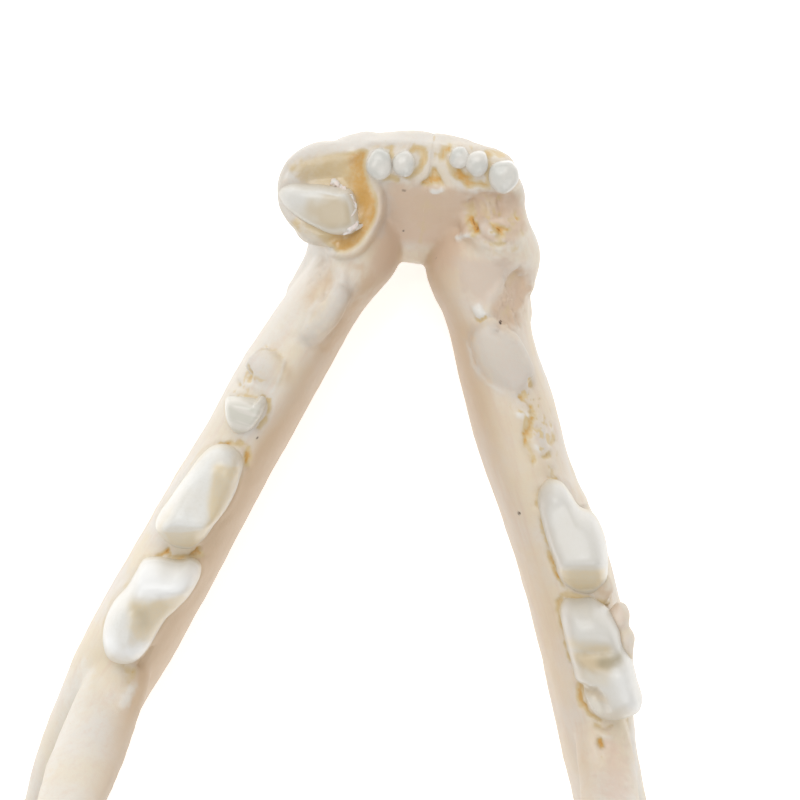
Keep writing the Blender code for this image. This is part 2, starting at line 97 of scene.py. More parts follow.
# Stations along the body of each half: v, lingual edge, buccal edge
BODY_EDGES = {
    "left": (
        (4.5, 1.6, 5.8), (7.0, 1.0, 5.7), (9.5, 1.1, 6.7), (12.5, 2.9, 8.4), (16.5, 4.6, 10.4),
        (20.5, 6.2, 12.0), (24.5, 7.8, 13.8), (28.5, 9.3, 15.5), (32.5, 10.8, 17.2),
        (36.5, 12.4, 18.7), (40.5, 14.1, 19.8), (44.5, 15.1, 20.7), (48.5, 16.6, 21.2),
        (52.0, 18.2, 21.3), (54.5, 19.0, 20.8),
    ),
    "right": (
        (4.5, 1.4, 6.0), (7.0, 0.8, 6.5), (9.5, 0.5, 7.2), (12.5, 2.1, 7.9), (16.5, 3.6, 9.8),
        (20.5, 5.2, 11.4), (24.5, 7.2, 13.8), (28.5, 9.0, 15.5), (32.5, 10.6, 16.9),
        (36.5, 12.0, 17.5), (40.5, 13.4, 18.6), (44.5, 14.9, 19.9), (48.5, 16.7, 20.8),
        (52.0, 18.2, 21.2), (54.5, 19.0, 20.8),
    ),
}
# Upper and lower border of the body: v, top, bottom
BODY_BORDERS = (
    (4.5, -0.9, -6.6), (7.0, -0.6, -8.8), (9.5, -0.5, -10.1), (12.5, -0.5, -10.5),
    (16.5, -0.1, -10.5), (20.5, 0.1, -10.4), (28.5, 0.1, -10.2), (34.5, 0.0, -10.0),
    (37.5, -0.6, -9.8), (42.5, -3.2, -9.6), (47.0, -5.2, -9.8), (51.5, -7.2, -10.5),
    (54.5, -7.8, -9.9),
)

# Rounded ridges of the bone: a path of (u, v, h), the widths and heights along it, and how blunt
# the ends are
Ridge = namedtuple("Ridge", "path widths heights blunt", defaults=(1.0,))
SHARED_RIDGES = (
    Ridge(((19.2, 51.4, 0.6), (19.8, 53.4, 0.9), (20.0, 55.2, 0.6)), (1.3, 2.6, 3.9), (1.9, 1.8, 1.3)),
    Ridge(((19.8, 47.5, -8.6), (20.4, 51.5, -9.0), (20.0, 54.4, -8.9), (19.2, 56.4, -8.2)),
          (1.6, 1.5, 1.0, 0.6), (1.5, 1.6, 1.1, 0.6)),
    Ridge(((-0.5, 0.9, -1.0), (1.2, 0.97, -1.0), (2.8, 1.25, -1.1)),
          (0.8, 0.82, 0.85), (0.8, 0.85, 0.9)),
)
RIDGES = {
    "left": (
        Ridge(((15.0, 35.5, -1.8), (16.1, 39.3, 0.2), (16.95, 42.4, 5.6), (17.9, 46.2, 12.2),
               (18.7, 49.6, 15.7)),
              (1.8, 2.15, 2.2, 1.45, 0.8), (1.4, 1.5, 1.3, 1.0, 0.7)),
        Ridge(((6.0, 4.3, 0.9), (5.95, 4.6, -1.0), (5.0, 6.3, -3.6), (5.2, 9.4, -6.0),
               (6.8, 13.0, -7.0)),
              (3.1, 3.15, 2.5, 1.9, 1.6), (3.1, 3.1, 2.7, 2.3, 1.9), 0.3),
        Ridge(((4.3, 10.3, -0.6), (5.3, 12.3, -0.4), (6.3, 14.0, -0.5)),
              (0.7, 0.95, 0.75), (0.7, 0.8, 0.5)),
        Ridge(((7.8, 15.2, -0.4), (8.5, 16.1, -0.3), (9.0, 17.0, -0.4)),
              (1.2, 1.4, 1.2), (0.5, 0.5, 0.5)),
        Ridge(((2.6, 1.5, -1.3), (4.3, 2.0, -1.25), (6.2, 2.85, -1.3)),
              (1.2, 1.32, 1.25), (1.2, 1.25, 1.1)),
        Ridge(((7.6, 6.2, -0.5), (7.1, 7.05, -0.9), (6.3, 7.7, -1.3)),
              (0.6, 0.72, 0.5), (0.7, 0.7, 0.6)),
        Ridge(((8.0, 5.2, -0.5), (7.75, 5.9, -0.3), (7.1, 6.6, -0.4), (6.0, 7.1, -0.7),
               (4.9, 7.3, -1.0)),
              (0.7, 0.75, 0.75, 0.7, 0.6), (1.0, 1.1, 1.1, 1.0, 0.8)),
    ),
    "right": (
        Ridge(((15.0, 35.5, -1.8), (16.0, 39.3, 0.2), (16.6, 42.4, 5.6), (17.8, 46.2, 12.2),
               (18.7, 49.6, 15.7)),
              (1.7, 1.85, 1.75, 1.2, 0.8), (1.4, 1.5, 1.3, 1.0, 0.7)),
        Ridge(((4.1, 4.0, -1.0), (4.6, 5.8, -2.0), (5.1, 7.6, -3.4), (5.2, 10.0, -5.6),
               (6.4, 13.0, -6.9)),
              (2.1, 2.2, 2.55, 2.15, 1.7), (2.0, 2.2, 2.4, 2.3, 2.1), 0.6),
        Ridge(((4.5, 11.5, -0.7), (5.8, 13.3, -0.6), (7.7, 15.3, -0.6)),
              (1.15, 1.6, 1.15), (0.75, 0.9, 0.7)),
        Ridge(((5.8, 7.9, -3.0), (6.15, 9.0, -3.2), (6.1, 9.9, -3.6)),
              (1.3, 1.4, 1.25), (1.2, 1.2, 1.0)),
        Ridge(((13.6, 26.5, -0.7), (14.1, 27.3, -0.5), (14.5, 28.0, -0.5)),
              (0.7, 0.8, 0.7), (0.8, 0.85, 0.75)),
        Ridge(((15.1, 28.3, -0.5), (15.45, 28.95, 0.0), (15.5, 29.5, -0.3)),
              (0.5, 0.65, 0.55), (0.8, 0.95, 0.8)),
        Ridge(((15.75, 29.9, -0.5), (16.0, 30.4, 0.0), (16.0, 30.9, -0.4)),
              (0.45, 0.62, 0.5), (0.8, 0.9, 0.8)),
        Ridge(((16.0, 30.8, -0.5), (16.15, 31.1, -0.2), (16.2, 31.4, -0.5)),
              (0.4, 0.45, 0.4), (0.7, 0.8, 0.7)),
        Ridge(((2.6, 1.3, -1.3), (4.05, 2.05, -1.5), (4.8, 3.2, -2.0)),
              (1.0, 1.22, 1.22), (1.2, 1.3, 1.3)),
        Ridge(((4.6, 2.3, -1.7), (4.95, 3.4, -2.0), (5.2, 4.6, -2.2), (5.15, 5.6, -2.5)),
              (1.0, 1.15, 1.1, 0.9), (1.1, 1.1, 1.2, 1.1)),
    ),
}
# Openings of nerves and vessels at the sides of each half: place, radius, depth
SIDE_OPENINGS = (
    ((8.9, 11.9, -4.6), 0.45, 0.7), ((10.6, 16.6, -5.0), 0.4, 0.6), ((16.4, 45.6, -4.2), 0.7, 0.8),
)

# Tints that the materials read as a value for each vertex. Some hold painted shade or painted light
# as well as the thing's own colour.
CROWN_MASKS = ("neck", "stain", "grey", "shade", "white")
BONE_MASKS = ("stain", "pale", "grey", "cream", "rosy_and_shade", "gloss", "tan_and_shade", "hole_shade")

# Marks on the upper side of the bone. A mark follows a line of photo pixels at a level h, or fills
# the line where it is closed. It has a half width and a rise in mm, and shares of the tints. The
# share "deep" is stain without its patches, and "blotch" is stain in blotches that are also pits.
# The tan and pinkish shares are partly the bone's own tone and partly painted shade in hollows and on
# slopes turned from the light; some paler shares are partly painted light.
Mark = namedtuple("Mark", "line level width rise tints closed", defaults=(False,))
MARKS = {
    "left": (
        Mark(((320, 262), (318, 278), (312, 298)), -1.0, 0.8, 0.0, {"tan_and_shade": 0.9}),
        Mark(((322, 264), (325, 280), (322, 294)), -1.0, 0.5, -0.3, {"tan_and_shade": 1.0}),
        Mark(((330, 253), (338, 263), (341, 274), (338, 286), (328, 297), (312, 308)),
             -0.8, 0.32, 0.13, {"pale": 0.35}),
        Mark(((305, 338), (323, 319), (338, 298), (346, 288)), -0.3, 0.6, 0.1, {"grey": 0.9}),
        Mark(((293, 338), (309, 320), (325, 300)), -0.3, 0.3, -0.12, {}),
        Mark(((300, 345), (310, 351), (322, 348)), -0.3, 0.25, -0.06, {"stain": 0.25}),
        Mark(((300, 310), (290, 325), (278, 336)), -0.4, 0.8, 0.0, {"pale": 0.45}),
        Mark(((267, 366), (264, 381)), 0.3, 0.65, 0.05, {"grey": 0.45}),
        Mark(((256, 354), (264, 350), (275, 352), (282, 358)), 0.3, 0.14, -0.1, {"stain": 0.45}),
        Mark(((284, 361), (281, 372), (277, 383), (271, 393)), 0.3, 0.14, 0.05, {"pale": 0.5}),
        Mark(((286, 364), (284, 374), (280, 384)), 0.2, 0.1, -0.05, {"stain": 0.3}),
        Mark(((247, 366), (249, 374), (248, 380)), 0.0, 0.2, -0.25, {"stain": 0.75}),
        Mark(((233, 386), (238, 388)), 0.0, 0.16, -0.2, {"stain": 0.6}),
        Mark(((252, 384), (260, 388)), 0.0, 0.3, 0.1, {"pale": 0.5}),
        Mark(((238, 398), (247, 396), (256, 397)), 0.0, 0.12, -0.1, {"stain": 0.5}),
        Mark(((262, 395), (269, 401), (269, 411), (265, 420), (259, 428)),
             0.0, 0.15, -0.2, {"stain": 0.7}),
        Mark(((222, 446), (229, 443), (238, 443), (246, 447), (248, 456), (247, 465)),
             0.0, 0.24, -0.25, {"stain": 0.85}),
        Mark(((157, 558), (162, 554), (167, 551), (171, 557), (181, 558), (190, 556), (197, 555),
              (199, 549)),
             0.0, 0.17, -0.25, {"stain": 1.0}),
        Mark(((192, 556), (199, 553), (203, 557)), 0.0, 0.26, -0.15, {"deep": 0.8}),
        Mark(((125, 666), (133, 670), (129, 679)), -0.2, 0.3, -0.15, {"stain": 0.6}),
        Mark(((139, 665), (146, 656), (151, 648)), -0.2, 0.12, -0.15, {"stain": 0.4}),
        Mark(((131, 684), (128, 691), (126, 698)), -0.6, 0.4, 0.15, {"pale": 0.7}),
        Mark(((370, 148), (380, 146), (391, 148), (404, 147)), 0.5, 0.17, -0.12, {"stain": 0.5}),
        Mark(((391, 150), (392, 156)), 0.4, 0.16, -0.12, {"deep": 0.65}),
        Mark(((384, 180), (392, 176), (397, 180)), 0.3, 0.2, -0.12, {"deep": 0.6}),
        Mark(((411, 151), (416, 148), (424, 150), (425, 158), (421, 167), (414, 174), (407, 177)),
             0.4, 0.25, -0.14, {"deep": 0.68}),
        Mark(((418, 154),), 0.5, 0.24, -0.2, {"stain": 0.35}),
        Mark(((282, 176), (288, 165), (298, 156), (312, 150), (330, 145), (352, 142)),
             0.8, 0.4, 0.0, {"grey": 0.85}),
        # The outer band of the left ramus: its cream tone, made paler as painted light
        Mark(((88, 668), (72, 705), (54, 745), (34, 795)), -2.0, 0.9, 0.0, {"cream": 0.5, "pale": 0.55}),
        Mark(((290, 181), (281, 190), (283, 204), (294, 217)), 0.8, 0.45, 0.0, {"grey": 0.8}),
        Mark(((232, 366), (256, 352), (270, 350), (262, 386), (250, 396), (226, 396)),
             0.0, 0.3, 0.0, {"blotch": 0.4}, True),
        Mark(((360, 141), (400, 139), (425, 139)), 0.2, 0.5, 0.0, {"grey": 0.95}),
        Mark(((302, 235), (307, 240), (313, 240)), -0.5, 0.25, 0.1, {"grey": 0.7}),
        Mark(((283, 203), (290, 213)), 0.6, 0.35, 0.0, {"pale": 0.5}),
        Mark(((298, 221), (312, 230), (330, 238)), 0.6, 0.4, 0.0, {"stain": 0.38}),
        Mark(((287, 178), (298, 183)), 0.9, 0.35, 0.0, {"pale": 0.6}),
        Mark(((380, 178), (386, 196), (386, 215), (380, 232)), -0.2, 0.4, 0.0, {"grey": 0.55}),
        Mark(((291, 167), (302, 161), (318, 159), (316, 172), (300, 180)),
             0.6, 0.3, 0.0, {"stain": 0.36}, True),
        # The inner side of the left half: tan, partly its own tone and partly painted shade
        Mark(((372, 268), (360, 290), (345, 316), (328, 345)), -4.0, 0.9, 0.0, {"tan_and_shade": 1.3}),
    ),
    "right": (
        # The healed place: a brownish ground, partly its own tone and partly painted shade of the hollow
        # round it
        Mark(((474, 197), (492, 194), (512, 196), (523, 210), (524, 226), (512, 238), (494, 236),
              (480, 234), (469, 222), (470, 206)), -0.9, 0.3, -0.2,
              {"tan_and_shade": 1.0, "rosy_and_shade": 0.5, "stain": 0.16}, True),
        Mark(((474, 203), (484, 199), (497, 202), (498, 212), (486, 216), (476, 212)),
             -0.8, 0.25, -0.15, {"stain": 0.3, "rosy_and_shade": 0.8}, True),
        Mark(((469, 217), (471, 224), (474, 231)), -0.9, 0.27, -0.28, {"deep": 1.25}),
        Mark(((490, 219), (497, 220), (505, 225), (506, 236), (500, 236), (495, 228)),
             -0.9, 0.15, -0.15, {"deep": 0.72}, True),
        Mark(((498, 224), (502, 230), (503, 236)), -0.9, 0.2, -0.15, {"deep": 1.2}),
        Mark(((503, 227), (510, 228)), -0.9, 0.2, -0.1, {"deep": 0.9}),
        Mark(((511, 214), (514, 224), (511, 234)), -0.8, 0.3, -0.1, {"stain": 0.34}),
        Mark(((486, 240), (494, 246), (506, 243)), -0.8, 0.14, -0.1, {"stain": 0.5}),
        Mark(((518, 210), (521, 217)), -0.7, 0.16, -0.15, {"stain": 0.7}),
        Mark(((500, 198), (501, 207), (500, 216)), -0.5, 0.12, -0.12, {"stain": 0.45}),
        Mark(((473, 203), (475, 210)), -0.6, 0.14, -0.12, {"stain": 0.4}),
        Mark(((488, 206), (485, 218), (482, 228)), -0.6, 0.3, 0.12, {"grey": 0.5}),
        Mark(((490, 229), (497, 233)), -0.7, 0.25, 0.12, {"pale": 0.6}),
        Mark(((488, 249), (497, 253), (509, 249), (519, 247)), -0.8, 0.28, -0.08, {"stain": 0.32}),
        Mark(((459, 240), (465, 236), (472, 233)), -0.8, 0.2, 0.2, {"pale": 1.0}),
        Mark(((466, 266), (480, 266), (500, 268), (506, 268), (496, 284), (482, 294), (468, 286)),
             -0.8, 0.7, 0.0, {"tan_and_shade": 1.2, "grey": 0.5, "rosy_and_shade": 0.6}, True),
        Mark(((528, 262), (512, 271), (501, 284), (493, 297), (488, 308)),
             -0.8, 0.3, 0.2, {"pale": 0.3}),
        # The hollow behind the dome: tan and pinkish, partly its own tone and partly painted shade
        Mark(((516, 280), (518, 300), (511, 316)),
             -1.5, 0.75, -0.5, {"tan_and_shade": 1.8, "stain": 0.28, "rosy_and_shade": 0.6}),
        Mark(((497, 303), (508, 292), (519, 284), (526, 293), (523, 305), (512, 313), (501, 311)),
             -1.6, 0.4, 0.0, {"tan_and_shade": 1.8, "rosy_and_shade": 0.5}, True),
        Mark(((478, 310), (481, 315)), 0.0, 0.3, 0.35, {"pale": 1.3}),
        Mark(((474, 320), (480, 322), (486, 319)), 0.0, 0.1, -0.12, {"stain": 0.75}),
        Mark(((480, 336), (480, 348), (486, 364), (498, 376), (514, 386), (526, 380), (524, 364),
              (512, 350), (500, 338), (490, 332)), -0.2, 0.75, 0.0, {"grey": 0.85, "tan_and_shade": 0.5}, True),
        Mark(((508, 362), (518, 374), (520, 384)), 0.0, 0.5, 0.0, {"stain": 0.14, "rosy_and_shade": 0.6}),
        Mark(((468, 348), (474, 368), (488, 384), (504, 393)), -0.2, 0.18, 0.04, {"pale": 0.45}),
        Mark(((520, 392), (556, 410), (560, 440), (552, 466), (528, 462), (520, 430), (512, 404)),
             -0.1, 0.3, 0.0, {"blotch": 0.6}, True),
        Mark(((531, 380), (532, 388)), -0.1, 0.13, -0.2, {"stain": 0.75}),
        Mark(((520, 397), (527, 402), (532, 408)), -0.1, 0.12, -0.2, {"stain": 0.8}),
        Mark(((533, 414), (530, 428), (526, 434), (525, 444), (531, 453), (534, 459)),
             -0.1, 0.26, -0.2, {"stain": 0.75}),
        Mark(((531, 431), (538, 428)), -0.1, 0.13, -0.15, {"stain": 0.6}),
        Mark(((556, 432), (555, 440), (552, 446)), -0.1, 0.22, -0.15, {"stain": 0.7}),
        Mark(((549, 455), (545, 457)), -0.1, 0.2, -0.2, {"stain": 0.85}),
        Mark(((553, 470), (552, 478)), 0.0, 0.14, -0.12, {"stain": 0.4}),
        Mark(((542, 434), (544, 448)), -0.1, 0.35, 0.12, {"grey": 0.7}),
        Mark(((520, 414), (529, 418)), -0.1, 0.25, 0.12, {"pale": 0.8}),
        Mark(((536, 447), (540, 452)), -0.1, 0.16, 0.12, {"pale": 0.8}),
        Mark(((507, 399), (514, 402)), -0.2, 0.22, -0.05, {"stain": 0.3}),
        Mark(((540, 489), (536, 496), (536, 506)), 0.0, 0.16, -0.2, {"stain": 0.65}),
        Mark(((541, 520), (547, 543), (551, 560), (556, 575), (562, 585)),
             0.0, 0.15, -0.22, {"stain": 0.85}),
        Mark(((548, 478), (556, 480)), 0.0, 0.12, -0.12, {"stain": 0.55}),
        Mark(((580, 503), (585, 508)), 0.0, 0.2, -0.12, {"stain": 0.5}),
        Mark(((557, 612), (558, 602), (563, 595)), 0.0, 0.2, -0.2, {"deep": 0.7}),
        Mark(((563, 595), (573, 595), (584, 599), (596, 600), (606, 604)),
             0.2, 0.3, 0.25, {"deep": 0.6}),
        Mark(((559, 616), (562, 633), (565, 646), (570, 661)), 0.0, 0.11, -0.2, {"stain": 0.65}),
        Mark(((580, 686), (580, 697), (583, 706)), 0.0, 0.24, -0.15, {"deep": 0.85}),
        Mark(((583, 706), (590, 715), (600, 720)), 0.0, 0.16, -0.15, {"deep": 0.7}),
        Mark(((596, 724), (604, 727), (612, 725)), -0.2, 0.13, -0.15, {"stain": 0.6}),
        Mark(((599, 738), (600, 742)), -0.2, 0.18, -0.35, {"stain": 0.9}),
        Mark(((601, 752),), -0.2, 0.16, -0.12, {"stain": 0.4}),
        Mark(((603, 734), (611, 735)), -0.2, 0.2, 0.12, {"pale": 0.5}),
        # The front slope of the right ramus: pinkish, partly its own tone and partly painted shade
        Mark(((612, 745), (617, 770), (614, 790)), -0.8, 0.9, -0.2, {"rosy_and_shade": 0.9}),
        Mark(((627, 719), (630, 731), (634, 742), (635, 754)), -0.5, 0.1, -0.1, {"stain": 0.5}),
        Mark(((600, 590), (608, 596), (613, 606)), 0.2, 0.4, 0.0, {"tan_and_shade": 0.9}),
        Mark(((619, 612), (622, 624)), 0.6, 0.4, 0.0, {"rosy_and_shade": 0.6, "pale": 0.3}),
        Mark(((629, 638), (630, 652)), 0.4, 0.3, 0.0, {"rosy_and_shade": 0.4, "pale": 0.4}),
        Mark(((531, 291), (530, 297)), -3.0, 0.3, 0.25, {}),
        Mark(((448, 149), (444, 150), (443, 156)), 0.3, 0.34, -0.14, {"deep": 0.95}),
        Mark(((446, 158), (450, 166), (456, 174), (466, 181), (478, 186), (489, 188)),
             0.2, 0.28, -0.08, {"deep": 0.5}),
        Mark(((458, 172), (463, 177), (469, 177)), 0.2, 0.34, -0.14, {"deep": 0.95}),
        Mark(((468, 182), (478, 184), (487, 185)), 0.2, 0.32, -0.1, {"deep": 0.85}),
        Mark(((488, 155), (494, 153), (500, 157)), 0.4, 0.26, -0.08, {"deep": 0.68}),
        Mark(((489, 163), (487, 174), (490, 184)), 0.4, 0.2, 0.0, {"deep": 0.5}),
        Mark(((470, 150),), 0.4, 0.12, -0.05, {"stain": 0.7}),
        Mark(((440, 139), (470, 142), (500, 150)), 0.2, 0.5, 0.0, {"grey": 0.7}),
    ),
}
# How far below its level a mark starts to fade and ends, so that it doesn't run down a wall
MARK_FADE, MARK_END = 1.2, 2.4
# Marks at the midline, which lie on both halves
CHIN_MARKS = (
    Mark(((434, 167), (439, 176), (443, 185), (434, 182), (425, 187), (422, 183), (430, 176)),
         0.0, 0.1, -0.3, {"stain": 0.78}, True),
    Mark(((431, 143), (429, 160), (424, 174), (416, 184)), 0.3, 0.22, 0.1, {"grey": 0.35}),
    Mark(((438, 143), (441, 163), (450, 177), (464, 189)), 0.3, 0.22, 0.1, {"grey": 0.35}),
    Mark(((434, 138), (435, 162)), 0.3, 0.07, -0.08, {"stain": 0.5}),
    Mark(((433, 190), (438, 191), (442, 189)), -0.4, 0.18, 0.08, {"pale": 1.0, "gloss": 0.6}),
    Mark(((386, 190), (426, 188), (462, 196), (462, 232), (452, 262), (414, 262), (376, 275),
          (384, 235)),
         -1.6, 0.6, 0.0, {"tan_and_shade": 1.1, "rosy_and_shade": 0.5}, True),
    Mark(((418, 197), (440, 199), (438, 222), (424, 232), (414, 222)),
         -1.8, 0.5, 0.0, {"tan_and_shade": 1.3, "stain": 0.22}, True),
    Mark(((428, 200), (425, 213)), -1.5, 0.2, 0.0, {"deep": 0.3}),
    Mark(((425, 214), (423, 226), (420, 244)), -2.5, 0.22, 0.0, {"deep": 0.36}),
)
# Fine openings, painted deep brown as the shade inside them: photo pixel, level, radius in mm
PINHOLES = (
    ((404, 190), -0.4, 0.1), ((404, 230), -3.0, 0.07), ((436, 254), -4.5, 0.07),
    ((500, 324), -0.1, 0.09),
    ((519, 511), -1.3, 0.11), ((257, 437), -0.2, 0.07),
)

# Teeth. Outlines are photo pixels at a level. A cusp has a place in photo pixels, a height, and
# faces that fall away from it: direction in degrees, distance to the face's edge, and slope.
Cusp = namedtuple("Cusp", "place height faces")
Tooth = namedtuple("Tooth", "side outline level cusps low chipped root", defaults=(1.0, (), 0.6))
# Lost enamel: its outline in photo pixels, the level below it, and a root that rises in its middle
Chipped = namedtuple("Chipped", "outline floor root radius rise")
TEETH = {
    "premolar_left": Tooth(
        "left",
        ((212, 449), (222, 447), (231, 449), (240, 457), (242, 467), (239, 480), (235, 493), (226, 510),
         (215, 524), (203, 541), (188, 551), (174, 549), (162, 540), (155, 528), (160, 514), (168, 503),
         (177, 490), (188, 475), (200, 459)), 1.0,
        (
            Cusp((191, 526), 4.3, (
                (-104, 0.0, 0.62), (98, 0.05, 1.5), (208, 1.2, 1.6), (-23, 1.2, 1.8), (-70, 1.82, 2.0))),
            Cusp((226, 463), 2.5,
                 ((-118, 0.3, 1.0), (62, 0.3, 0.7), (152, 0.45, 1.3), (-28, 0.45, 1.2))),
            Cusp((180, 544), 1.5, ((62, 0.2, 1.0), (152, 0.4, 1.0), (-28, 0.4, 1.0), (-118, 0.3, 0.6))),
        ),
    ),
    "premolar_right": Tooth(
        "right",
        ((548, 483), (561, 485), (571, 497), (579, 509), (593, 516), (602, 531), (607, 550), (608, 568),
         (606, 583), (598, 593), (586, 597), (570, 591), (559, 578), (555, 562), (547, 541), (541, 519),
         (538, 502), (541, 490)), 1.0,
        (
            Cusp((582, 563), 4.2, (
                (-92, 0.0, 0.6), (-42, 0.05, 0.6), (97, 0.08, 1.4), (22, 1.1, 1.8), (205, 1.3, 1.9))),
            Cusp((556, 498), 2.5, ((-59, 0.3, 1.0), (121, 0.3, 1.1), (31, 0.45, 1.3), (211, 0.45, 1.2))),
        ),
    ),
    "molar_left": Tooth(
        "left",
        ((144, 562), (155, 560), (166, 561), (174, 563), (182, 563), (191, 561), (199, 567), (199, 578),
         (194, 589), (186, 601), (176, 611), (166, 620), (158, 632), (152, 643), (145, 653), (133, 663),
         (120, 665), (108, 660), (103, 647), (103, 630), (107, 616), (115, 602), (126, 590),
         (135, 575)), 1.0,
        (
            Cusp((160, 593), 3.6, ((-81, 0.1, 0.55), (99, 0.05, 1.6), (180, 1.55, 1.2), (0, 1.4, 0.6))),
            Cusp((128, 628), 4.6, ((-8, 0.1, 0.9), (172, 0.05, 1.2), (80, 1.1, 0.9), (-98, 0.9, 1.4))),
        ),
    ),
    "molar_right": Tooth(
        "right",
        ((566, 601), (577, 600), (592, 600), (600, 605), (612, 616), (618, 627), (624, 648), (632, 663),
         (637, 682), (642, 704), (639, 713), (630, 718), (616, 722), (602, 720), (590, 710), (585, 698),
         (583, 686), (577, 682), (573, 668), (568, 651), (564, 634), (561, 618), (562, 607)), 1.0,
        (
            Cusp((590, 634), 3.1,
                 ((-82, 0.5, 0.45), (98, 0.35, 0.9), (8, 1.0, 1.2), (190, 1.4, 0.9), (-50, 1.6, 1.0))),
            Cusp((621, 690), 3.5, ((205, 1.0, 0.35), (20, 0.3, 0.6), (-72, 0.9, 1.1), (105, 1.2, 0.9))),
            Cusp((590, 676), 1.5, ((205, 0.4, 0.8), (25, 0.4, 0.5), (-65, 0.3, 0.9), (115, 0.3, 0.8))),
        ),
        0.9,
        (Chipped(((572, 685), (582, 683), (590, 685), (598, 685), (602, 689), (605, 696), (609, 705),
                  (611, 716),
                  (600, 728), (580, 722), (570, 700)), 1.15, (600, 705), 1.05, 0.85),),
    ),
    "small_premolar_left": Tooth(
        "left",
        ((226, 402), (237, 401), (248, 402), (256, 403), (261, 400), (265, 404), (264, 413), (257, 425),
         (247, 435), (235, 437), (228, 430), (224, 417)), 1.6,
        (
            Cusp((243, 414), 1.7, ((-90, 0.6, 0.9), (75, 0.2, 0.6), (0, 0.8, 0.9), (180, 0.9, 0.9))),
            Cusp((258, 407), 1.85, ((-90, 0.1, 1.2), (90, 0.3, 0.8), (0, 0.2, 0.9), (180, 0.2, 1.3))),
        ),
    ),
    "canine_left": Tooth(
        "left",
        ((278, 196), (281, 190), (288, 187), (306, 187), (322, 188), (339, 191), (350, 193), (354, 200),
         (356, 210), (357, 219), (358, 228), (352, 236), (342, 238), (330, 237), (314, 230), (301, 223),
         (290, 215), (281, 206)), 1.6,
        (
            Cusp((328, 204), 1.9,
                 ((0, 1.2, 0.45), (-90, 0.8, 1.0), (90, 0.1, 0.3), (180, 1.4, 0.8), (110, 1.5, 1.2))),
            Cusp((305, 194), 1.8, ((0, 0.2, 0.85), (-90, 0.2, 1.0), (90, 0.3, 0.8), (180, 1.0, 0.4))),
        ),
        0.6, (), 0.1,
    ),
}
# Tints on the crowns, as marks at a level of the crown. The beige of the neck on slopes turned back or
# inward and in creases is partly the enamel's own and partly painted shade, the shade tint is painted
# shade, and the whitest tint is painted light on faces that catch it.
CROWN_MARKS = {
    "premolar_left": (
        # Beige slopes turned back and inward: partly the neck's own tone, partly painted shade
        Mark(((168, 531), (185, 531), (206, 527), (214, 515), (208, 535), (190, 549), (172, 547)),
             2.2, 0.25, 0.0, {"neck": 1.0}, True),
        Mark(((217, 468), (236, 472), (232, 492), (222, 510), (214, 520), (214, 495)),
             2.2, 0.3, 0.0, {"neck": 1.1}, True),
        Mark(((166, 506), (159, 518), (158, 530), (166, 542)), 1.6, 0.45, 0.0, {"neck": 0.8}),
    ),
    "premolar_right": (
        # Beige rear slope: partly the neck's own tone, partly painted shade
        Mark(((563, 570), (582, 569), (601, 570), (602, 580), (594, 592), (580, 594), (567, 583)),
             2.2, 0.3, 0.0, {"neck": 1.15}, True),
    ),
    "molar_left": (
        # Beige inner face and the darker corner of the valley: partly the neck's own tone, partly painted
        # shade
        Mark(((136, 602), (150, 603), (168, 601), (182, 597), (186, 602), (174, 616), (160, 632),
              (150, 640),
              (141, 634), (136, 620)), 2.5, 0.35, 0.0, {"neck": 1.0}, True),
        Mark(((136, 602), (144, 610), (146, 620)), 2.5, 0.4, 0.0, {"shade": 0.3}),
        # Whiter faces that catch the light: painted light
        Mark(((146, 566), (168, 572), (194, 570), (188, 582), (166, 590), (142, 588)),
             2.4, 0.4, 0.0, {"white": 1.0}, True),
        Mark(((112, 640), (124, 650), (140, 648)), 2.5, 0.7, 0.0, {"white": 1.0}),
    ),
    "molar_right": (
        # Beige rear slope of the front cusp and the notch behind it: partly the enamel's own beige and
        # stain, partly painted shade
        Mark(((570, 644), (588, 648), (606, 650)), 2.3, 0.45, 0.0, {"neck": 0.9}),
        Mark(((578, 655), (590, 657), (604, 658)), 1.8, 0.45, 0.0, {"neck": 1.0}),
        Mark(((586, 660), (594, 662), (601, 662)), 1.8, 0.55, 0.0, {"deep": 1.0, "shade": 0.1}),
        Mark(((603, 660), (610, 659), (618, 656)), 1.8, 0.4, 0.0, {"shade": 0.85}),
        Mark(((587, 689), (594, 690), (601, 694)), 1.0, 0.35, 0.0, {"deep": 0.75}),
        # Whiter face that catches the light: painted light
        Mark(((622, 676), (626, 692), (632, 706)), 2.5, 0.6, 0.0, {"white": 0.5}),
        Mark(((576, 672), (592, 677), (602, 676)), 1.6, 0.4, 0.0, {"neck": 0.4}),
        Mark(((594, 700), (602, 707), (600, 714)), 1.8, 0.6, 0.0, {"neck": 0.45, "white": 0.2}),
    ),
    "canine_left": (
        Mark(((280, 195), (290, 198), (300, 200)), 1.6, 0.7, 0.0, {"grey": 0.5}),
    ),
}

# The wide socket round the canine, and the deep orange crescent in it, in photo pixels
CANINE_SOCKET = (
    (283, 181), (288, 170), (297, 162), (312, 156), (327, 153), (340, 151), (352, 151),
    (363, 148), (370, 151), (367, 161), (367, 172), (370, 182), (376, 192), (379, 206), (377, 219),
    (371, 232), (363, 244), (354, 252), (341, 255), (327, 249), (317, 241), (310, 234), (300, 225),
    (290, 213), (281, 200),
)
CANINE_CRESCENT = ((362, 160), (367, 183), (372, 204), (368, 226), (358, 243), (345, 250), (337, 251))
SOCKET_OUTER_END = ((283, 180), (279, 192), (288, 212))
SOCKET_FRONT = ((298, 160), (330, 149), (364, 146))
SOCKET_LEVEL = 0.8
# The worn face of the canine: photo pixel of its middle, level, half length and half width in mm
CANINE_FACET = ((334, 214), 1.8, 2.1, 1.35)
# The healed place of the right canine: photo pixel, level, radius in mm
HEALED = ((496, 222), -0.9, 2.5)

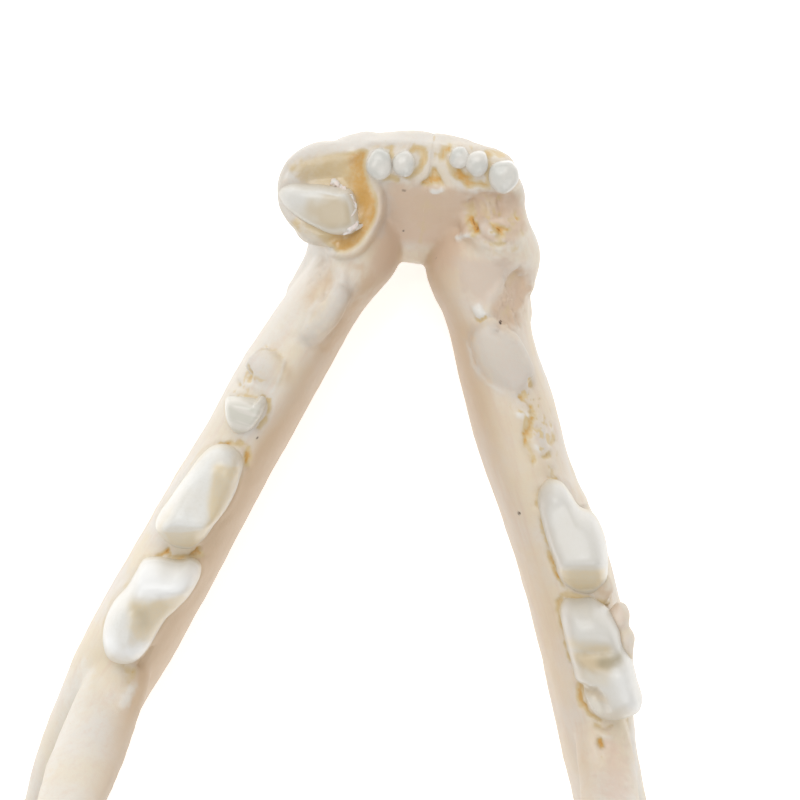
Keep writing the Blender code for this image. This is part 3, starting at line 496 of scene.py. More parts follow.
# Worn incisors: half, photo pixel of the middle, width and length in mm, height. The pixel
# is read this far below the top.
INCISOR_READ = 0.6
INCISORS = (
    ("left", (379, 165), 1.6, 1.95, 1.55), ("left", (404, 164), 1.42, 1.62, 1.4),
    ("right", (459.5, 158), 1.3, 1.35, 1.3), ("right", (477, 164), 1.42, 1.6, 1.45),
    ("right", (503.5, 177), 1.9, 2.0, 1.4),
)
# White chips of enamel on the canine and beside it: photo pixels of the two ends, width in mm, and the
# levels of the two ends
CHIPS = (
    ((332, 181), (338, 185), 0.42, (-0.15, -0.05)),
    ((340, 186), (345, 189), 0.32, (-0.05, 0.4)),
    ((350, 194), (354, 200), 0.18, (0.9, 0.7)),
    ((354, 201), (356, 209), 0.2, (0.75, 0.55)),
    ((355, 210), (352, 215), 0.18, (0.8, 1.2)),
    ((345, 233), (352, 229), 0.34, (0.75, 0.85)),
    ((350, 229), (357, 223), 0.46, (0.95, 0.65)),
    ((354, 228), (361, 226), 0.34, (0.7, 0.1)),
)

# Below a crown's shoulder: how far out each ring of its wall is, and its share of the height
CROWN_WALL = ((0.988, 0.85), (0.998, 0.65), (1.005, 0.45), (1.01, 0.2), (1.01, 0.0))
# The root's rings: share of the way to its full taper, and height in mm
CROWN_ROOT = ((0.25, -0.5), (0.5, -1.3), (1.0, -2.2))

# Studio lights: name, place and size in metres, watts. Then the strength of the light all round, and
# the floor's half width in metres and its own glow.
LIGHTS = (
    ("key", (0.3, -0.5, 0.75), 0.9, 4.5), ("spark", (0.12, -0.35, 0.8), 0.04, 0.2),
    ("fill", (-0.25, 0.4, 0.6), 0.5, 1.0),
)
WORLD_STRENGTH = 0.5
FLOOR_REACH = 1.5
FLOOR_GLOW = 0.45


def colour(red, green, blue):
    """Linear colour from screen values of 0 to 255."""
    screen = np.array((red, green, blue)) / 255
    return tuple(np.where(screen > 0.04045, ((screen + 0.055) / 1.055) ** 2.4, screen / 12.92))


def follow(x, knots, values):
    """Cubic curve through the knots, with each slope taken from the neighbours."""
    knots = np.asarray(knots, float)
    values = np.asarray(values, float)
    slopes = np.gradient(values, knots)
    x = np.clip(np.asarray(x, float), knots[0], knots[-1])
    i = np.clip(np.searchsorted(knots, x, side="right") - 1, 0, len(knots) - 2)
    width = knots[i + 1] - knots[i]
    t = (x - knots[i]) / width
    start = (1 + 2 * t) * (1 - t) ** 2 * values[i] + t * (1 - t) ** 2 * width * slopes[i]
    return start + t * t * (3 - 2 * t) * values[i + 1] + t * t * (t - 1) * width * slopes[i + 1]


def read(table, x, column):
    """Value of one column of a table at x, on a curve through its rows, whose first column is x."""
    rows = np.array(table)
    return follow(x, rows[:, 0], rows[:, column])


def lengths(path):
    """Length along a path at each of its places."""
    return np.concatenate(([0], np.cumsum(np.linalg.norm(np.diff(path, axis=0), axis=1))))


def follow_path(along, knots, path):
    """Places on a smooth curve through a path, at some lengths along it."""
    return np.stack([follow(along, knots, part) for part in path.T], -1)


def around(count):
    """Angles of one turn, without the last."""
    return np.linspace(0, 2 * math.pi, count, endpoint=False)


def power(value, exponent):
    """Signed power, which squares off the corners of an ellipse."""
    return np.sign(value) * np.abs(value) ** exponent


def step(low, high, value):
    """Smooth step: 0 at low, 1 at high, and 3tt - 2ttt between them."""
    t = np.clip((value - low) / (high - low), 0, 1)
    return t * t * (3 - 2 * t)


def bell(distance, width, exponent=2):
    """Bell: the exponential of minus a power of the distance over the width."""
    return np.exp(-(distance / width) ** exponent)


def noise(points, size, seed):
    """Smooth random values from -1 to 1: random numbers on a cubic lattice, blended between its
    corners."""
    count = 32
    lattice = np.random.default_rng(seed).uniform(-1, 1, (count,) * 3)
    cell = points / size
    low = np.floor(cell).astype(int)
    t = cell - low
    t = t * t * (3 - 2 * t)
    total = np.zeros(len(points))
    for corner in product((0, 1), repeat=3):
        weight = np.where(corner, t, 1 - t).prod(axis=1)
        i, j, k = ((low + corner) % count).T
        total += weight * lattice[i, j, k]
    return total


def camera_axes():
    """Directions of the camera in jaw coordinates: right, up and back towards it."""
    back = np.array((0.0, -math.sin(CAMERA_TILT), math.cos(CAMERA_TILT)))
    level_up = np.array((0.0, -math.cos(CAMERA_TILT), -math.sin(CAMERA_TILT)))
    level_right = np.array((-1.0, 0.0, 0.0))
    up = math.cos(CAMERA_ROLL) * level_up - math.sin(CAMERA_ROLL) * level_right
    right = math.sin(CAMERA_ROLL) * level_up + math.cos(CAMERA_ROLL) * level_right
    return right, up, back


def on_jaw(pixels, level):
    """Places (x, v) where the camera's rays through the pixels cross a level of the jaw."""
    pixels = np.atleast_2d(np.asarray(pixels, float))
    right, up, back = camera_axes()
    eye = np.array(CAMERA_AIM) + CAMERA_DISTANCE * back
    across = (pixels[:, :1] - PHOTO_PIXELS / 2) / FOCAL_PIXELS
    rise = (PHOTO_PIXELS / 2 - pixels[:, 1:]) / FOCAL_PIXELS
    ray = across * right + rise * up - back
    reach = (level - eye[2]) / ray[:, 2:]
    return (eye + reach * ray)[:, :2]


def closed_curve(places, count):
    """Smooth closed curve through places, evenly spaced along it."""
    places = np.asarray(places, float)
    path = np.concatenate((places[-3:], places, places[:4]))
    knots = lengths(path)
    along = np.linspace(knots[3], knots[3 + len(places)], count, endpoint=False)
    return follow_path(along, knots, path)


def line_distance(places, line, reach=4.0):
    """Distance of places (x, v) from a line through several places, where it is less than the reach."""
    line = np.asarray(line, float)
    nearest = np.full(len(places), 2 * reach)
    near = np.flatnonzero(((places > line.min(0) - reach) & (places < line.max(0) + reach)).all(axis=1))
    for start, end in zip(line[:-1], line[1:]) if len(line) > 1 else ((line[0], line[0] + 1e-6),):
        run = end - start
        share = np.clip((places[near] - start) @ run / (run @ run), 0, 1)
        away = np.linalg.norm(places[near] - start - share[:, None] * run, axis=1)
        nearest[near] = np.minimum(nearest[near], away)
    return nearest


def outline_distance(places, outline):
    """Distance of places (x, v) from a closed outline, negative inside it."""
    distance = np.full(len(places), 9.0)
    low, high = outline.min(0) - 2.0, outline.max(0) + 2.0
    near = np.flatnonzero(((places > low) & (places < high)).all(axis=1))
    x, v = places[near].T
    inside = np.zeros(len(near), bool)
    for start, end in zip(outline, np.roll(outline, -1, axis=0)):
        if start[1] != end[1]:
            crossing = start[0] + (v - start[1]) * (end[0] - start[0]) / (end[1] - start[1])
            inside ^= ((start[1] > v) != (end[1] > v)) & (x < crossing)
    closed = np.concatenate((outline, outline[:1]))
    gap = line_distance(places[near], closed)
    distance[near] = np.where(inside, -gap, gap)
    return distance


def path_distance(points, pixels, level, reach=4.0):
    """Distance of points from a line through photo pixels at a level, where it is less than the reach."""
    return line_distance(points[:, :2], on_jaw(pixels, level), reach)


def curve_distance(points, pixels, level, count=60):
    """Distance of points from a smooth closed curve through photo pixels at a level, negative inside."""
    return outline_distance(points[:, :2], on_jaw(closed_curve(pixels, count), level))


def lost_distance(points, lost):
    """Distance of points from the outline of lost enamel, negative inside it."""
    return curve_distance(points, lost.outline, lost.floor + lost.rise)


def closed_surface(rings):
    """Closed surface of rings of points (rows, columns, 3), whose two ends are drawn to points: its
    points, the four-sided faces between the rings, and the three-sided faces of the ends."""
    rows, columns = rings.shape[:2]
    row = np.arange(rows - 1)[:, None] * columns
    here = np.arange(columns)
    there = (here + 1) % columns
    sides = np.stack((row + here, row + there, row + columns + there, row + columns + here), -1)
    base = (rows - 1) * columns
    first = np.full(columns, rows * columns)
    start = np.stack((there, here, first), -1)
    end = np.stack((base + here, base + there, first + 1), -1)
    points = np.concatenate((rings.reshape(-1, 3), rings[:1].mean(1), rings[-1:].mean(1)))
    return points, sides.reshape(-1, 4), np.concatenate((start, end))


def joined(surfaces):
    """Several surfaces as one."""
    points, *faces = zip(*surfaces)
    counts = np.cumsum([0, *map(len, points[:-1])])
    moved = [np.concatenate([part + count for part, count in zip(parts, counts)]) for parts in faces]
    return np.concatenate(points), *moved


def roughened(rings, rise, size, seed):
    """Rings of points, moved by noise of a size."""
    flat = rings.reshape(-1, 3)
    return (flat + rise * noise(flat, size, seed)[:, None]).reshape(rings.shape)


def face_outwards(mesh):
    """Turn the faces of each closed surface outwards."""
    shape = bmesh.new()
    shape.from_mesh(mesh)
    bmesh.ops.recalc_face_normals(shape, faces=shape.faces)
    shape.to_mesh(mesh)
    shape.free()


def new_mesh(name, surface):
    """Mesh of a surface in millimetres, with its faces outwards."""
    points, sides, ends = surface
    mesh = bpy.data.meshes.new(name)
    mesh.from_pydata(points.tolist(), [], sides.tolist() + ends.tolist())
    face_outwards(mesh)
    return mesh


def new_object(name, data):
    """Object that shows the data, in the scene."""
    thing = bpy.data.objects.new(name, data)
    bpy.context.scene.collection.objects.link(thing)
    return thing


def place_object(thing, place, axes):
    """Put an object at a place, with its axes along three directions."""
    thing.matrix_world = Matrix.LocRotScale(place, Matrix(np.stack(axes, -1).tolist()), None)


def read_vectors(items, name):
    """One vector of each item of a mesh, as an array."""
    vectors = np.empty(len(items) * 3)
    items.foreach_get(name, vectors)
    return vectors.reshape(-1, 3)


def read_points(mesh):
    """Places of a mesh's vertices as an array."""
    return read_vectors(mesh.vertices, "co")


def read_normals(mesh):
    """Normals at a mesh's vertices as an array."""
    return read_vectors(mesh.vertex_normals, "vector")


def write_points(mesh, points):
    """Put an array of places into a mesh."""
    mesh.vertices.foreach_set("co", points.ravel())
    mesh.update()


def write_mask(mesh, name, values):
    """Keep a value for each vertex, for the materials to read."""
    attribute = mesh.attributes.new(name, "FLOAT", "POINT")
    attribute.data.foreach_set("value", np.ascontiguousarray(values, np.float32))


def add_piece(name, mesh, material, replaced=()):
    """Put a mesh in jaw millimetres into the scene as a finished piece of the jaw, in metres."""
    sizes = bpy.context.scene.jaw_sizes
    offset = np.array((0.0, -sizes.jaw_middle, sizes.body_depth))
    write_points(mesh, read_points(mesh) * MM + offset)
    mesh.materials.clear()
    mesh.materials.append(material)
    mesh.shade_smooth()
    thing = new_object(name, mesh)
    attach(thing, "root")
    if replaced:
        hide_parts(*replaced)
    return thing


def body_rings(stations, rows=200, columns=72, squareness=0.86, lean=0.35):
    """Sections across the jaw: rounded upright boxes, whose half width and half height times powers of
    the cosine and sine give each ring, and which lean outwards at the top."""
    start, stop = stations[0][0], stations[-1][0]
    v = np.linspace(start, stop, rows)[:, None]
    inner, outer = (read(stations, v, column) for column in (1, 2))
    top, bottom = (read(BODY_BORDERS, v, column) for column in (1, 2))
    close = np.sin(np.clip((v - start + 0.3) / 3.0, 0, 1) * math.pi / 2) ** 0.5
    close = close * np.sin(np.clip((stop - v + 0.3) / 2.0, 0, 1) * math.pi / 2) ** 0.5
    angle = around(columns)
    side = power(np.cos(angle), squareness)
    rise = power(np.sin(angle), squareness)
    u = (inner + outer) / 2 + ((outer - inner) / 2 - 0.15) * close * side + lean * rise
    h = (top + bottom) / 2 + (top - bottom) / 2 * close * rise
    return np.stack((u, np.broadcast_to(v, u.shape), h), -1)


def plate_rings(centre, outline, thickness, rows=40, columns=120, squareness=0.55):
    """Pillow over a star-shaped outline: the radius times the sine of a tilt gives the ring, and a power
    of its cosine times half the thickness gives the side."""
    points = np.array(outline) - np.array(centre)
    turn = np.arctan2(points[:, 1], points[:, 0])
    reach = np.hypot(points[:, 0], points[:, 1])
    order = np.argsort(turn)
    turn, reach = turn[order], reach[order]
    turns = np.concatenate((turn[-2:] - 2 * math.pi, turn, turn[:2] + 2 * math.pi))
    reaches = np.concatenate((reach[-2:], reach, reach[:2]))
    angle = around(columns) - math.pi
    radius = follow(angle, turns, reaches)
    tilt = np.linspace(0.04, math.pi - 0.04, rows)[:, None]
    v = centre[0] + np.sin(tilt) * radius * np.cos(angle)
    h = centre[1] + np.sin(tilt) * radius * np.sin(angle)
    middle = read(RAMUS_MIDDLE, v, 1) + RAMUS_LEAN * h
    return np.stack((middle + thickness / 2 * power(np.cos(tilt), squareness), v, h), -1)


def ridge_rings(ridge, rows=64, columns=40):
    """Oval section carried along a path, closed by a circle's root over a length of blunt times its
    radius."""
    path = np.array(ridge.path, float)
    knots = lengths(path)
    along = knots[-1] * (1 - np.cos(np.linspace(0.12, math.pi - 0.12, rows))) / 2
    centre = follow_path(along, knots, path)
    heading = np.gradient(centre, along, axis=0)
    heading /= np.linalg.norm(heading, axis=1)[:, None]
    across = np.array([1.0, 0.0, 0.0]) - heading * heading[:, :1]
    across /= np.linalg.norm(across, axis=1)[:, None]
    upward = np.cross(across, heading)
    end = np.minimum(along, knots[-1] - along)[:, None]
    wide = follow(along, knots, ridge.widths)[:, None]
    tall = follow(along, knots, ridge.heights)[:, None]
    close = np.sqrt(1 - (1 - np.clip(end / np.minimum(wide, tall) / ridge.blunt, 0, 1)) ** 2)
    angle = around(columns)
    a = (close * wide * np.cos(angle))[..., None]
    b = (close * tall * np.sin(angle))[..., None]
    return centre[:, None] + a * across[:, None] + b * upward[:, None]


def condyle_rings(radius, rows=48, columns=40):
    """Barrel across the jaw, thicker towards the midline, with rounded ends: a circle whose radius
    follows the root of 1 - x to the fourth."""
    start, stop = CONDYLE_SPAN
    share = (1 - np.cos(np.linspace(0.2, math.pi - 0.2, rows)))[:, None] / 2
    u = start + (stop - start) * share
    swell = (1 - (2 * share - 1) ** 4) ** 0.5 * (1.06 - 0.16 * share)
    angle = around(columns)
    sag = 0.5 * (1 - share)
    v = CONDYLE_PLACE[0] - sag + radius * swell * np.cos(angle) * 0.95
    h = CONDYLE_PLACE[1] - sag + radius * swell * np.sin(angle)
    return np.stack((np.broadcast_to(u, v.shape), v, h), -1)


def chin_rings(rows=64, columns=96, squareness=0.8):
    """Level sections of the chin: rounded boxes from powers of the cosine and sine."""
    h = np.linspace(CHIN_LEVELS[0][0], CHIN_LEVELS[-1][0], rows)[:, None]
    front, rear, half = (read(CHIN_LEVELS, h, column) for column in (1, 2, 3))
    angle = around(columns)
    u = half * power(np.cos(angle), squareness)
    v = (front + rear) / 2 + (rear - front) / 2 * power(np.sin(angle), squareness)
    return np.stack((u, v, np.broadcast_to(h, u.shape)), -1)


def bone_forms(side, sizes):
    """Closed overlapping forms of the bone of one half, with u outwards."""
    yield body_rings(BODY_EDGES[side])
    yield chin_rings()
    yield plate_rings(RAMUS_CENTRE, RAMUS_OUTLINE, sizes.ramus_thickness / MM)
    yield plate_rings(CORONOID_CENTRE, CORONOID_OUTLINE, sizes.coronoid_thickness / MM)
    yield condyle_rings(sizes.condyle_radius / MM)
    for ridge in SHARED_RIDGES + RIDGES[side]:
        yield ridge_rings(ridge)


def evaluated(mesh, modifiers):
    """Mesh with modifiers applied: each is a kind and its settings."""
    thing = new_object("shaping", mesh)
    for kind, settings in modifiers:
        modifier = thing.modifiers.new(kind, kind)
        for name, value in settings.items():
            setattr(modifier, name, value)
    depsgraph = bpy.context.evaluated_depsgraph_get()
    result = bpy.data.meshes.new_from_object(thing.evaluated_get(depsgraph))
    bpy.data.objects.remove(thing)
    return result


def cut_flat(mesh, point, normal):
    """Cut a mesh by a plane, keep the side that the normal leaves, and close the cut. A first cut close
    to it leaves a line of points, so that only a hair's breadth is shaded as an edge."""
    shape = bmesh.new()
    shape.from_mesh(mesh)
    for margin in (CUT_MARGIN, 0.0):
        everything = shape.verts[:] + shape.edges[:] + shape.faces[:]
        place = np.array(point) - margin * np.array(normal)
        cut = bmesh.ops.bisect_plane(
            shape, geom=everything, dist=1e-5, plane_co=place, plane_no=normal, clear_outer=margin == 0.0)
    edges = [item for item in cut["geom_cut"] if isinstance(item, bmesh.types.BMEdge)]
    bmesh.ops.holes_fill(shape, edges=edges, sides=0)
    shape.to_mesh(mesh)
    shape.free()


def shade_cuts_flat(mesh):
    """Shade the faces of the cuts flat, so that the surfaces that meet them stay smooth up to the
    edge."""
    normals = read_vectors(mesh.polygons, "normal")
    cut = (np.abs(normals[:, 0]) > 0.9999) | (normals[:, 2] < -0.9999)
    mesh.polygons.foreach_set("use_smooth", ~cut)


def tint(masks, name, values):
    """Raise a mask to the values where they are higher."""
    masks[name] = np.maximum(masks[name], values)


def sculpt_sockets(side, points, masks, upward, sizes):
    """Rise of the bone round the teeth: it dips under each tooth by a smooth step, and rises to it in a
    collar, a bell across the outline."""
    collar = sizes.socket_collar / MM
    rise = np.zeros(len(points))
    grain = noise(points, 0.6, 13)
    for name, tooth in TEETH.items():
        if tooth.side == side and name != "canine_left":
            away = curve_distance(points, tooth.outline, tooth.level, 120) + 0.04 * grain
            rise -= 1.5 * step(-0.2, -0.7, away)
            rise += collar * bell(np.maximum(away, 0), 0.28)
            tint(masks, "stain", (0.22 + 0.15 * grain) * upward * bell(away - 0.04, 0.13))
    for half, pixel, width, length, height in INCISORS:
        if half == side:
            away = path_distance(points, (pixel,), height - INCISOR_READ) - (width + length) / 4
            rise += 1.4 * collar * bell(np.maximum(away, 0), 0.3)
    if side == "left":
        away = curve_distance(points, CANINE_SOCKET, SOCKET_LEVEL, 160) + 0.05 * noise(points, 0.5, 11)
        outer = path_distance(points, SOCKET_OUTER_END, SOCKET_LEVEL, 8.0)
        rise -= sizes.canine_socket_depth / MM * step(0.1, -1.6, away)
        rise += 0.1 * bell(away - 0.3, 0.25)
        tooth = TEETH["canine_left"]
        canine = curve_distance(points, tooth.outline, tooth.level, 120)
        rise += 2.0 * collar * bell(np.maximum(canine, 0), 0.4) * step(0.3, 1.5, outer)
        crescent = path_distance(points, CANINE_CRESCENT, SOCKET_LEVEL)
        depth = 0.42 + 0.5 * bell(crescent, 1.0) + 0.1 * noise(points, 0.9, 12)
        tint(masks, "stain", depth * upward * step(0.15, -0.35, away) * step(0.2, 1.5, outer))
        tint(masks, "gloss", upward * step(0.1, -0.2, away))
    return rise * upward


def fill_socket_wall(points):
    """Lift the slope at the inner side of the canine's socket to a rim, from which the socket then falls
    by a smooth step. Points that stand higher already stay."""
    away = curve_distance(points, CANINE_SOCKET, SOCKET_LEVEL, 160)
    front = path_distance(points, SOCKET_FRONT, SOCKET_LEVEL)
    rim = SOCKET_LEVEL - 0.55 - 0.3 * step(0.0, 0.5, away)
    near = step(0.5, 0.1, away) * step(-4.0, -3.0, points[:, 2]) * step(0.3, 1.2, front)
    near *= step(6.0, 4.8, points[:, 0])
    points[:, 2] += near * np.maximum(rim - points[:, 2], 0)


def sculpt_marks(marks, points, masks, upward, rough=1.0):
    """Rise of the surface at its marks: bells across the line of each, whose edges waver with noise. The
    marks' shares go into the masks."""
    rise = np.zeros(len(points))
    waver = rough * (0.5 * noise(points, 0.5, 51) + 0.4 * noise(points, 0.22, 52))
    patchy = np.clip(0.8 + 0.5 * noise(points, 0.4, 53) + 0.4 * noise(points, 0.18, 54), 0, 1.3)
    blotches = step(0.1, 0.75, noise(points, 0.38, 55) + 0.6 * noise(points, 0.17, 56))
    for mark in marks:
        line = on_jaw(mark.line, mark.level)
        distance = outline_distance if mark.closed else line_distance
        away = distance(points[:, :2], line)
        away = np.maximum(away + mark.width * waver, 0)
        shape = bell(away, mark.width) * upward
        shape *= step(mark.level - MARK_END, mark.level - MARK_FADE, points[:, 2])
        rise += mark.rise * shape
        for name, share in mark.tints.items():
            if name == "blotch":
                tint(masks, "stain", share * shape * blotches)
                rise -= 0.1 * share * shape * blotches
            elif name == "deep":
                tint(masks, "stain", share * shape)
            else:
                tint(masks, name, share * shape * (patchy if name == "stain" else 1))
    return rise


def sculpt_healed(points, masks, upward):
    """Rough healed bone where the right canine was: noise of two sizes inside a wide bell."""
    pixel, level, radius = HEALED
    reach = bell(path_distance(points, (pixel,), level), radius, 4) * upward
    coarse = noise(points, 0.8, 21)
    fine = noise(points, 0.36, 22)
    tint(masks, "stain", reach * 0.55 * step(0.15, 0.75, -0.7 * coarse - 0.6 * fine))
    tint(masks, "pale", reach * 0.35 * step(0.1, 0.6, coarse + 0.4 * fine))
    return reach * (0.08 * coarse + 0.08 * fine)


def bone_half(side, sizes):
    """Bone of one half: its forms joined on a voxel grid and smoothed, cut at the midline and underneath,
    and then moved along its normals by the sockets and marks."""
    mesh = new_mesh("forms", joined(closed_surface(rings) for rings in bone_forms(side, sizes)))
    mesh = evaluated(mesh, (
        ("REMESH", {"mode": "VOXEL", "voxel_size": sizes.bone_voxel / MM}),
        ("SMOOTH", {"factor": 0.5, "iterations": 14}),
    ))
    cut_flat(mesh, (sizes.chin_gap / MM / 2, 0, 0), (-1, 0, 0))
    cut_flat(mesh, (0, 0, -sizes.body_depth / MM), (0, 0, -1))
    points = read_points(mesh)
    points[:, 0] *= SIDES[side]
    write_points(mesh, points)
    if SIDES[side] < 0:
        mesh.flip_normals()
    if side == "left":
        fill_socket_wall(points)
        write_points(mesh, points)
    normals = read_normals(mesh)
    free = step(0.0, 0.5, np.abs(points[:, 0]) - sizes.chin_gap / MM / 2)
    normals[:, 0] *= free
    normals /= np.linalg.norm(normals, axis=1)[:, None] + 1e-9
    upward = step(-0.15, 0.35, normals[:, 2]) * step(-7.0, -5.0, points[:, 2])
    masks = {name: np.zeros(len(points)) for name in BONE_MASKS}
    inward = -normals[:, 0] * SIDES[side]
    v = points[:, 1]
    # The inner side takes the tan tint by its normals: partly the bone's own tone, partly painted shade
    # on a side turned from the light
    lingual = step(0.0, 0.9, inward) * step(2.0, 5.0, v)
    if side == "right":
        lingual = lingual * (1 - 0.45 * step(14.0, 24.0, v))
        tint(masks, "tan_and_shade", 0.35 * upward * step(6.0, 10.0, v) * step(30.0, 16.0, v))
    else:
        lingual = lingual * (1 + step(16.0, 26.0, v) - 1.3 * step(34.0, 48.0, v))
        outer = step(0.45, 0.85, -inward) * step(26.0, 16.0, v)
        tint(masks, "grey", 0.5 * outer)
        tint(masks, "pale", 0.4 * outer)
    # Faces turned forward at the chin are paler: partly the bone's own tone, partly painted light, as of
    # light through the thin front wall
    front = step(0.2, 0.7, -normals[:, 1]) * step(6.0, 4.0, v) * step(-4.0, 0.0, points[:, 0])
    tint(masks, "pale", 0.48 * front)
    tint(masks, "tan_and_shade", lingual)
    # The upper side of the ramus is paler: partly its own tone, partly painted light
    tint(masks, "pale", 0.35 * upward * step(36.0, 41.0, v))
    rise = sculpt_sockets(side, points, masks, upward, sizes)
    rise += sculpt_marks(MARKS[side] + CHIN_MARKS, points, masks, upward)
    if side == "right":
        rise += sculpt_healed(points, masks, upward)
    for place, radius, depth in SIDE_OPENINGS:
        place = np.array(place) * (SIDES[side], 1, 1)
        shape = bell(np.linalg.norm(points - place, axis=1), radius, 4)
        rise -= depth * shape
        tint(masks, "stain", 1.1 * shape)
    rise += 0.035 * noise(points, 1.6, 31) + 0.02 * noise(points, 0.7, 32)
    points = points + normals * rise[:, None]
    points[:, 2] = np.maximum(points[:, 2], -sizes.body_depth / MM)
    write_points(mesh, points)
    # Painted shade inside the fine openings
    for pixel, level, radius in PINHOLES:
        tint(masks, "hole_shade", bell(path_distance(points, (pixel,), level), radius) * upward)
    for name, values in masks.items():
        write_mask(mesh, name, values)
    return mesh


def roof(places, cusps, sharpness):
    """Height of a tooth's top: each cusp is the softly rounded lowest of its faces, which fall away from
    it past their distances, and the tooth is the softly rounded highest of its cusps."""
    tops = []
    for cusp in cusps:
        offset = places - on_jaw((cusp.place,), cusp.height)[0]
        total = np.ones(offset.shape[:-1])
        for direction, distance, slope in cusp.faces:
            angle = math.radians(direction)
            along = offset @ np.array((math.cos(angle), math.sin(angle)))
            total = total + np.exp(np.clip(sharpness * slope * (along - distance), -60, 60))
        tops.append(cusp.height - np.log(total) / sharpness)
    tops = np.stack(tops)
    return np.log(np.exp(sharpness * (tops - tops.max(0))).sum(0)) / sharpness + tops.max(0)


def crown_surface(tooth, columns, rows=72, roughness=0.04, sharpness=3.6):
    """A crown from the middle of its top outwards: the outline about its middle, scaled by a radius r,
    with the height of the roof times the 0.55th power of 1 - r to the 7th, which rounds its shoulder.
    Lost enamel takes the top down to a floor with a bell-shaped root in it. Below, the wall bulges and
    draws in to the neck, and the root tapers down into the socket."""
    outline = on_jaw(closed_curve(tooth.outline, columns), tooth.level)
    middle = outline.mean(0)
    radius = 0.975 * np.sin(np.linspace(0.02, math.pi / 2, rows))
    places = middle + radius[:, None, None] * (outline - middle)
    full = np.maximum(roof(places, tooth.cusps, sharpness), tooth.low)
    top = full * ((1 - radius ** 7) ** 0.55)[:, None]
    for lost in tooth.chipped:
        solid = np.concatenate((places, top[..., None]), -1).reshape(-1, 3)
        away = lost_distance(solid, lost) + 0.06 * noise(solid, 0.35, 41)
        root = path_distance(solid, (lost.root,), lost.floor + lost.rise)
        floor = (lost.floor + lost.rise * bell(root, lost.radius, 4)).reshape(top.shape)
        kept = step(-0.6, 0.15, away).reshape(top.shape)
        top = np.minimum(top, floor) + np.maximum(top - floor, 0) * kept
    reaches = [reach for reach, _ in CROWN_WALL]
    reaches += [1 - share * (1 - tooth.root) for share, _ in CROWN_ROOT]
    walls = [top[-1] * share for _, share in CROWN_WALL]
    walls += [np.full(columns, h) for _, h in CROWN_ROOT]
    places = np.concatenate((places, middle + np.array(reaches)[:, None, None] * (outline - middle)))
    rings = np.concatenate((places, np.concatenate((top, walls))[..., None]), -1)
    flat = rings.reshape(-1, 3)
    flat[:, 2] += roughness * noise(flat, 0.9, 42) * step(-0.5, 0.5, flat[:, 2])
    return closed_surface(flat.reshape(rings.shape))


def pearl_surface(middle, width, length, height, seed, rows=40, columns=72):
    """A rounded lump: a dome whose radius has low lobes, with its top pressed flatter by a power of the
    cosine of the tilt, over a root that goes down nearly as wide."""
    angle = around(columns)
    tilt = np.linspace(0.04, math.pi - 0.04, rows)[:, None]
    phase = np.random.default_rng(seed).uniform(0, 2 * math.pi, 3)
    lobes = 1 + 0.03 * np.cos(3 * angle + phase[0]) + 0.02 * np.cos(5 * angle + phase[1])
    across = np.where(tilt < math.pi / 2, np.sin(tilt) ** 0.85, 0.8 + 0.2 * np.sin(tilt)) * lobes
    x = middle[0] + width / 2 * across * np.cos(angle)
    v = middle[1] + length / 2 * across * np.sin(angle)
    level = np.cos(tilt)
    high = height - 0.75 * (1 - power(level, 0.75))
    deep = height - 0.75 + 1.9 * level
    h = np.where(level > 0, high, deep) + 0 * angle
    return closed_surface(roughened(np.stack((x, v, h), -1), 0.02, 0.5, seed))


def chip_surface(start, end, width, seed, rows=14, columns=20):
    """A chip of enamel: a spindle between two places, with a rough radius and a flattened top."""
    share = np.linspace(0.02, 0.98, rows)[:, None]
    angle = around(columns)
    radius = width / 2 * (np.sin(math.pi * share) ** 0.45 + 0 * angle)
    run = end - start
    length = np.linalg.norm(run[:2])
    side = np.array((-run[1], run[0], 0)) / length
    reach = -0.3 * width + share * (length + 0.6 * width)
    rings = start + reach[..., None] * run / length + (radius * np.cos(angle))[..., None] * side
    rings[..., 2] += 0.9 * radius * np.sin(angle)
    return closed_surface(roughened(rings, 0.07, 0.16, seed))


class Value:
    """A number or colour that comes out of a node, so that shader maths reads as an expression."""

    def __init__(self, finish, socket):
        self.finish = finish
        self.socket = socket

    def maths(self, operation, *values):
        return self.finish.node("ShaderNodeMath", {"operation": operation}, dict(enumerate(values)))

    def __add__(self, other):
        return self.maths("ADD", self, other)

    def __sub__(self, other):
        return self.maths("SUBTRACT", self, other)

    def __mul__(self, other):
        return self.maths("MULTIPLY", self, other)

    def __rsub__(self, other):
        return self.maths("SUBTRACT", other, self)

    def __pow__(self, other):
        return self.maths("POWER", self, other)

    __radd__ = __add__
    __rmul__ = __mul__

    def step(self, low, high):
        """Smooth step from 0 at low to 1 at high."""
        ends = {"Value": self, "From Min": low, "From Max": high}
        return self.finish.node("ShaderNodeMapRange", {"interpolation_type": "SMOOTHSTEP"}, ends)


